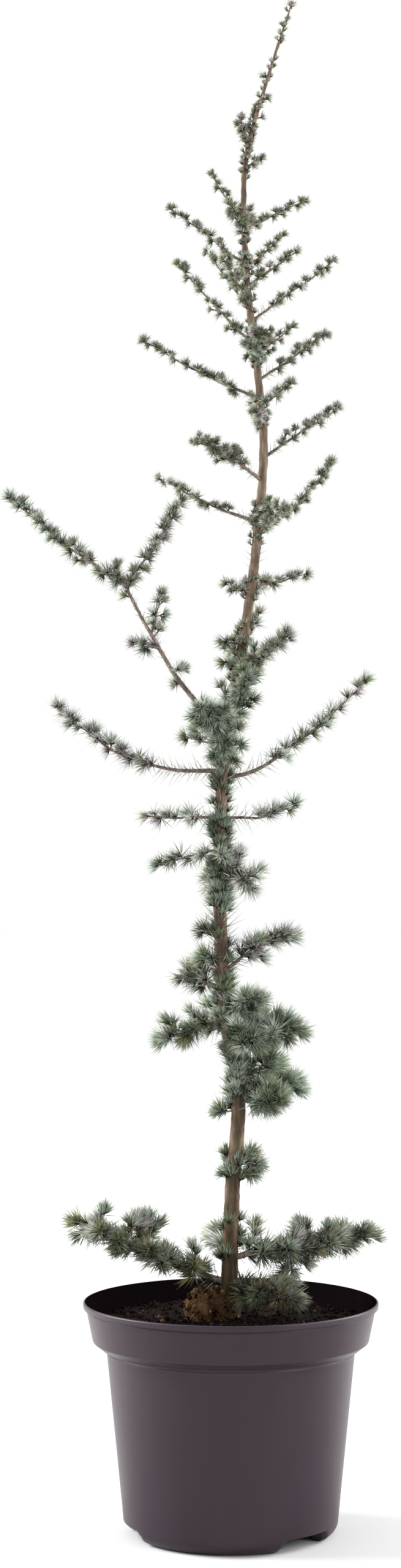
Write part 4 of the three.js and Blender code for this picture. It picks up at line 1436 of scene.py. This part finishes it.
print(f"{needles_so_far()} needles with the rosettes on the trunk")

# %% The leader's tip, and stretches of trunk with single needles
LEADER_ROSETTES = 2
LEADER_NEEDLES = 40  # in each
LEADER_LENGTH = 7.5 * MM
SPARSE_STRETCHES = [  # lowest and highest height and spacing in mm, and tone
    (572, 600, 0.8, "grey"), (672, 745, 0.6, "grey"), (905, 935, 1.4, "grey"),
    (524, 580, 0.4, "shade"),
]
rng = seeded("trunk")
top, grey = sprays_of["top"], TONE_NUMBERS["grey"]
foot = np.array([*trunk_line[-1], trunk_tip]) - UP * 4 * MM
for _ in range(LEADER_ROSETTES):
    rosette(top, foot, UP, UP, LEADER_LENGTH, LEADER_NEEDLES, grey, rng)
for low, high, spacing, tone in SPARSE_STRETCHES:
    line = np.array([trunk_at(height * MM) for height in range(low, high, 2)])
    length = needle_length(low) + trunk_radius(low * MM)
    sprays = sprays_of[zone_at(low)]
    single_needles(sprays, line, 0, spacing * MM, length, TONE_NUMBERS[tone], rng, lean=0.6)
print(f"{needles_so_far()} needles in all, on {len(spur_lines)} spurs")

# %% [markdown]
# ## Wood and needles as meshes
#
# The lines of the boughs, twigs and spurs become three meshes of tubes. The finer the wood, the
# fewer sides its tubes have, since nobody can count them on a twig. A little relief is pushed into
# these meshes too, so that a bough's edge against the light isn't ruler straight. Each part of the
# crown becomes one mesh of needles.

# %% Make the meshes
bough_nodes = sorted(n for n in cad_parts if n.startswith("bough_"))
WOOD = [  # piece, lines, sides, depth of its relief in mm, waves to the metre, finish, CAD solids
    ("bough_wood", bough_lines, 10, 0.3, 300, twig_bark, bough_nodes),
    ("twig_wood", twig_lines, 6, 0.12, 500, twig_bark, ()),
    ("spur_wood", spur_lines, 4, 0.05, 900, spur_bark, ()),
]
for name, lines, sides, depth, waves, finish, nodes in WOOD:
    shape = tubes(name, lines, sides)
    roughen(shape, depth * MM, waves)
    add_piece(name, finished_mesh(name, shape), [finish], nodes)
for zone, sprays in sprays_of.items():
    name = "needles_" + zone
    add_piece(name, sprays.mesh(name), needle_finishes, nodes_of[zone])

# %% [markdown]
# ## Floor, light and camera
#
# The floor is plain pale paper. The lamps light it most round the pot, so its own tone is a light
# grey there and goes over to white further off, and it looks evenly pale all over. The light is a
# white sky all round with three wide soft lamps: a strong one on the left and a weaker one on the
# right, both beside the tree, and a faint one in front on the right. They leave the middle of the
# pot dark and its two sides paler, which shows how round it is. The camera stands level, as far off
# as the ellipses of the rim and the foot ask for, and a little left of the pot.

# %% Stage
LAMPLIGHT_END = 2.9  # metres from the pot


def build_floor():
    """A flat square of 24 metres."""
    shape = bmesh.new()
    bmesh.ops.create_grid(shape, x_segments=4, y_segments=4, size=12)
    return finished_mesh("floor", shape)


floor = bpy.data.objects.new("floor", build_floor())
bpy.context.scene.collection.objects.link(floor)
paper = Finish("pale_floor", {"Roughness": 0.9, "Specular IOR Level": 0.1})
away = paper.node("VectorMath", {"operation": "LENGTH"}, {0: paper.place()}, output="Value")
near, far = linear(190, 190, 190), linear(255, 255, 255)
pale = paper.mix(paper.ramp(away * (1 / LAMPLIGHT_END), (0.25, 0.0), (1.0, 1.0)), near, far)
floor.data.materials.append(paper.surface(pale))

world = bpy.data.worlds.new("white_sky")
world.use_nodes = True
sky = world.node_tree.nodes["Background"].inputs
sky["Color"].default_value = (1, 1, 1, 1)
sky["Strength"].default_value = 1.0
bpy.context.scene.world = world
bpy.context.scene.view_settings.view_transform = "Standard"

# %% Lamps
middle = (Vector(cad_box[0]) + Vector(cad_box[1])) / 2
LAMPS_AIM = 0.4  # metres above the floor


def aim(holder, place, target):
    """Puts a lamp or the camera at a place and turns it to a target."""
    holder.location = place
    way = Vector(target) - Vector(place)
    holder.rotation_euler = way.to_track_quat("-Z", "Y").to_euler()
    bpy.context.scene.collection.objects.link(holder)


LAMPS = {  # place in metres, width in metres, power in watts
    "left_lamp": ((-2.1, 0.3, 1.4), 1.6, 156),
    "right_lamp": ((2.0, 0.7, 1.2), 1.4, 86),
    "front_lamp": ((2.5, -1.5, 1.3), 1.1, 50),
}
for name, (place, width, power) in LAMPS.items():
    lamp_data = bpy.data.lights.new(name, "AREA")
    lamp_data.shape = "DISK"
    lamp_data.size = width
    lamp_data.energy = power
    lamp = bpy.data.objects.new(name, lamp_data)
    aim(lamp, place, (middle.x, middle.y, LAMPS_AIM))
    lamp.visible_camera = False
print(f"{len(LAMPS)} lamps, {sum(power for _, _, power in LAMPS.values())} W")

# %% Camera
CAMERA_DISTANCE = 2.93  # metres in front of the pot's axis
CAMERA_LEFT = 0.0286  # metres
CAMERA_HEIGHT = 0.706  # metres
CAMERA_LENS = 71.24  # mm, for a sensor 36 mm wide
camera_data = bpy.data.cameras.new("camera")
camera_data.lens = CAMERA_LENS
camera_data.sensor_width = 36
camera_data.clip_end = 100
camera = bpy.data.objects.new("camera", camera_data)
aim(camera, (-CAMERA_LEFT, -CAMERA_DISTANCE, CAMERA_HEIGHT), (-CAMERA_LEFT, 0, CAMERA_HEIGHT))
bpy.context.scene.camera = camera
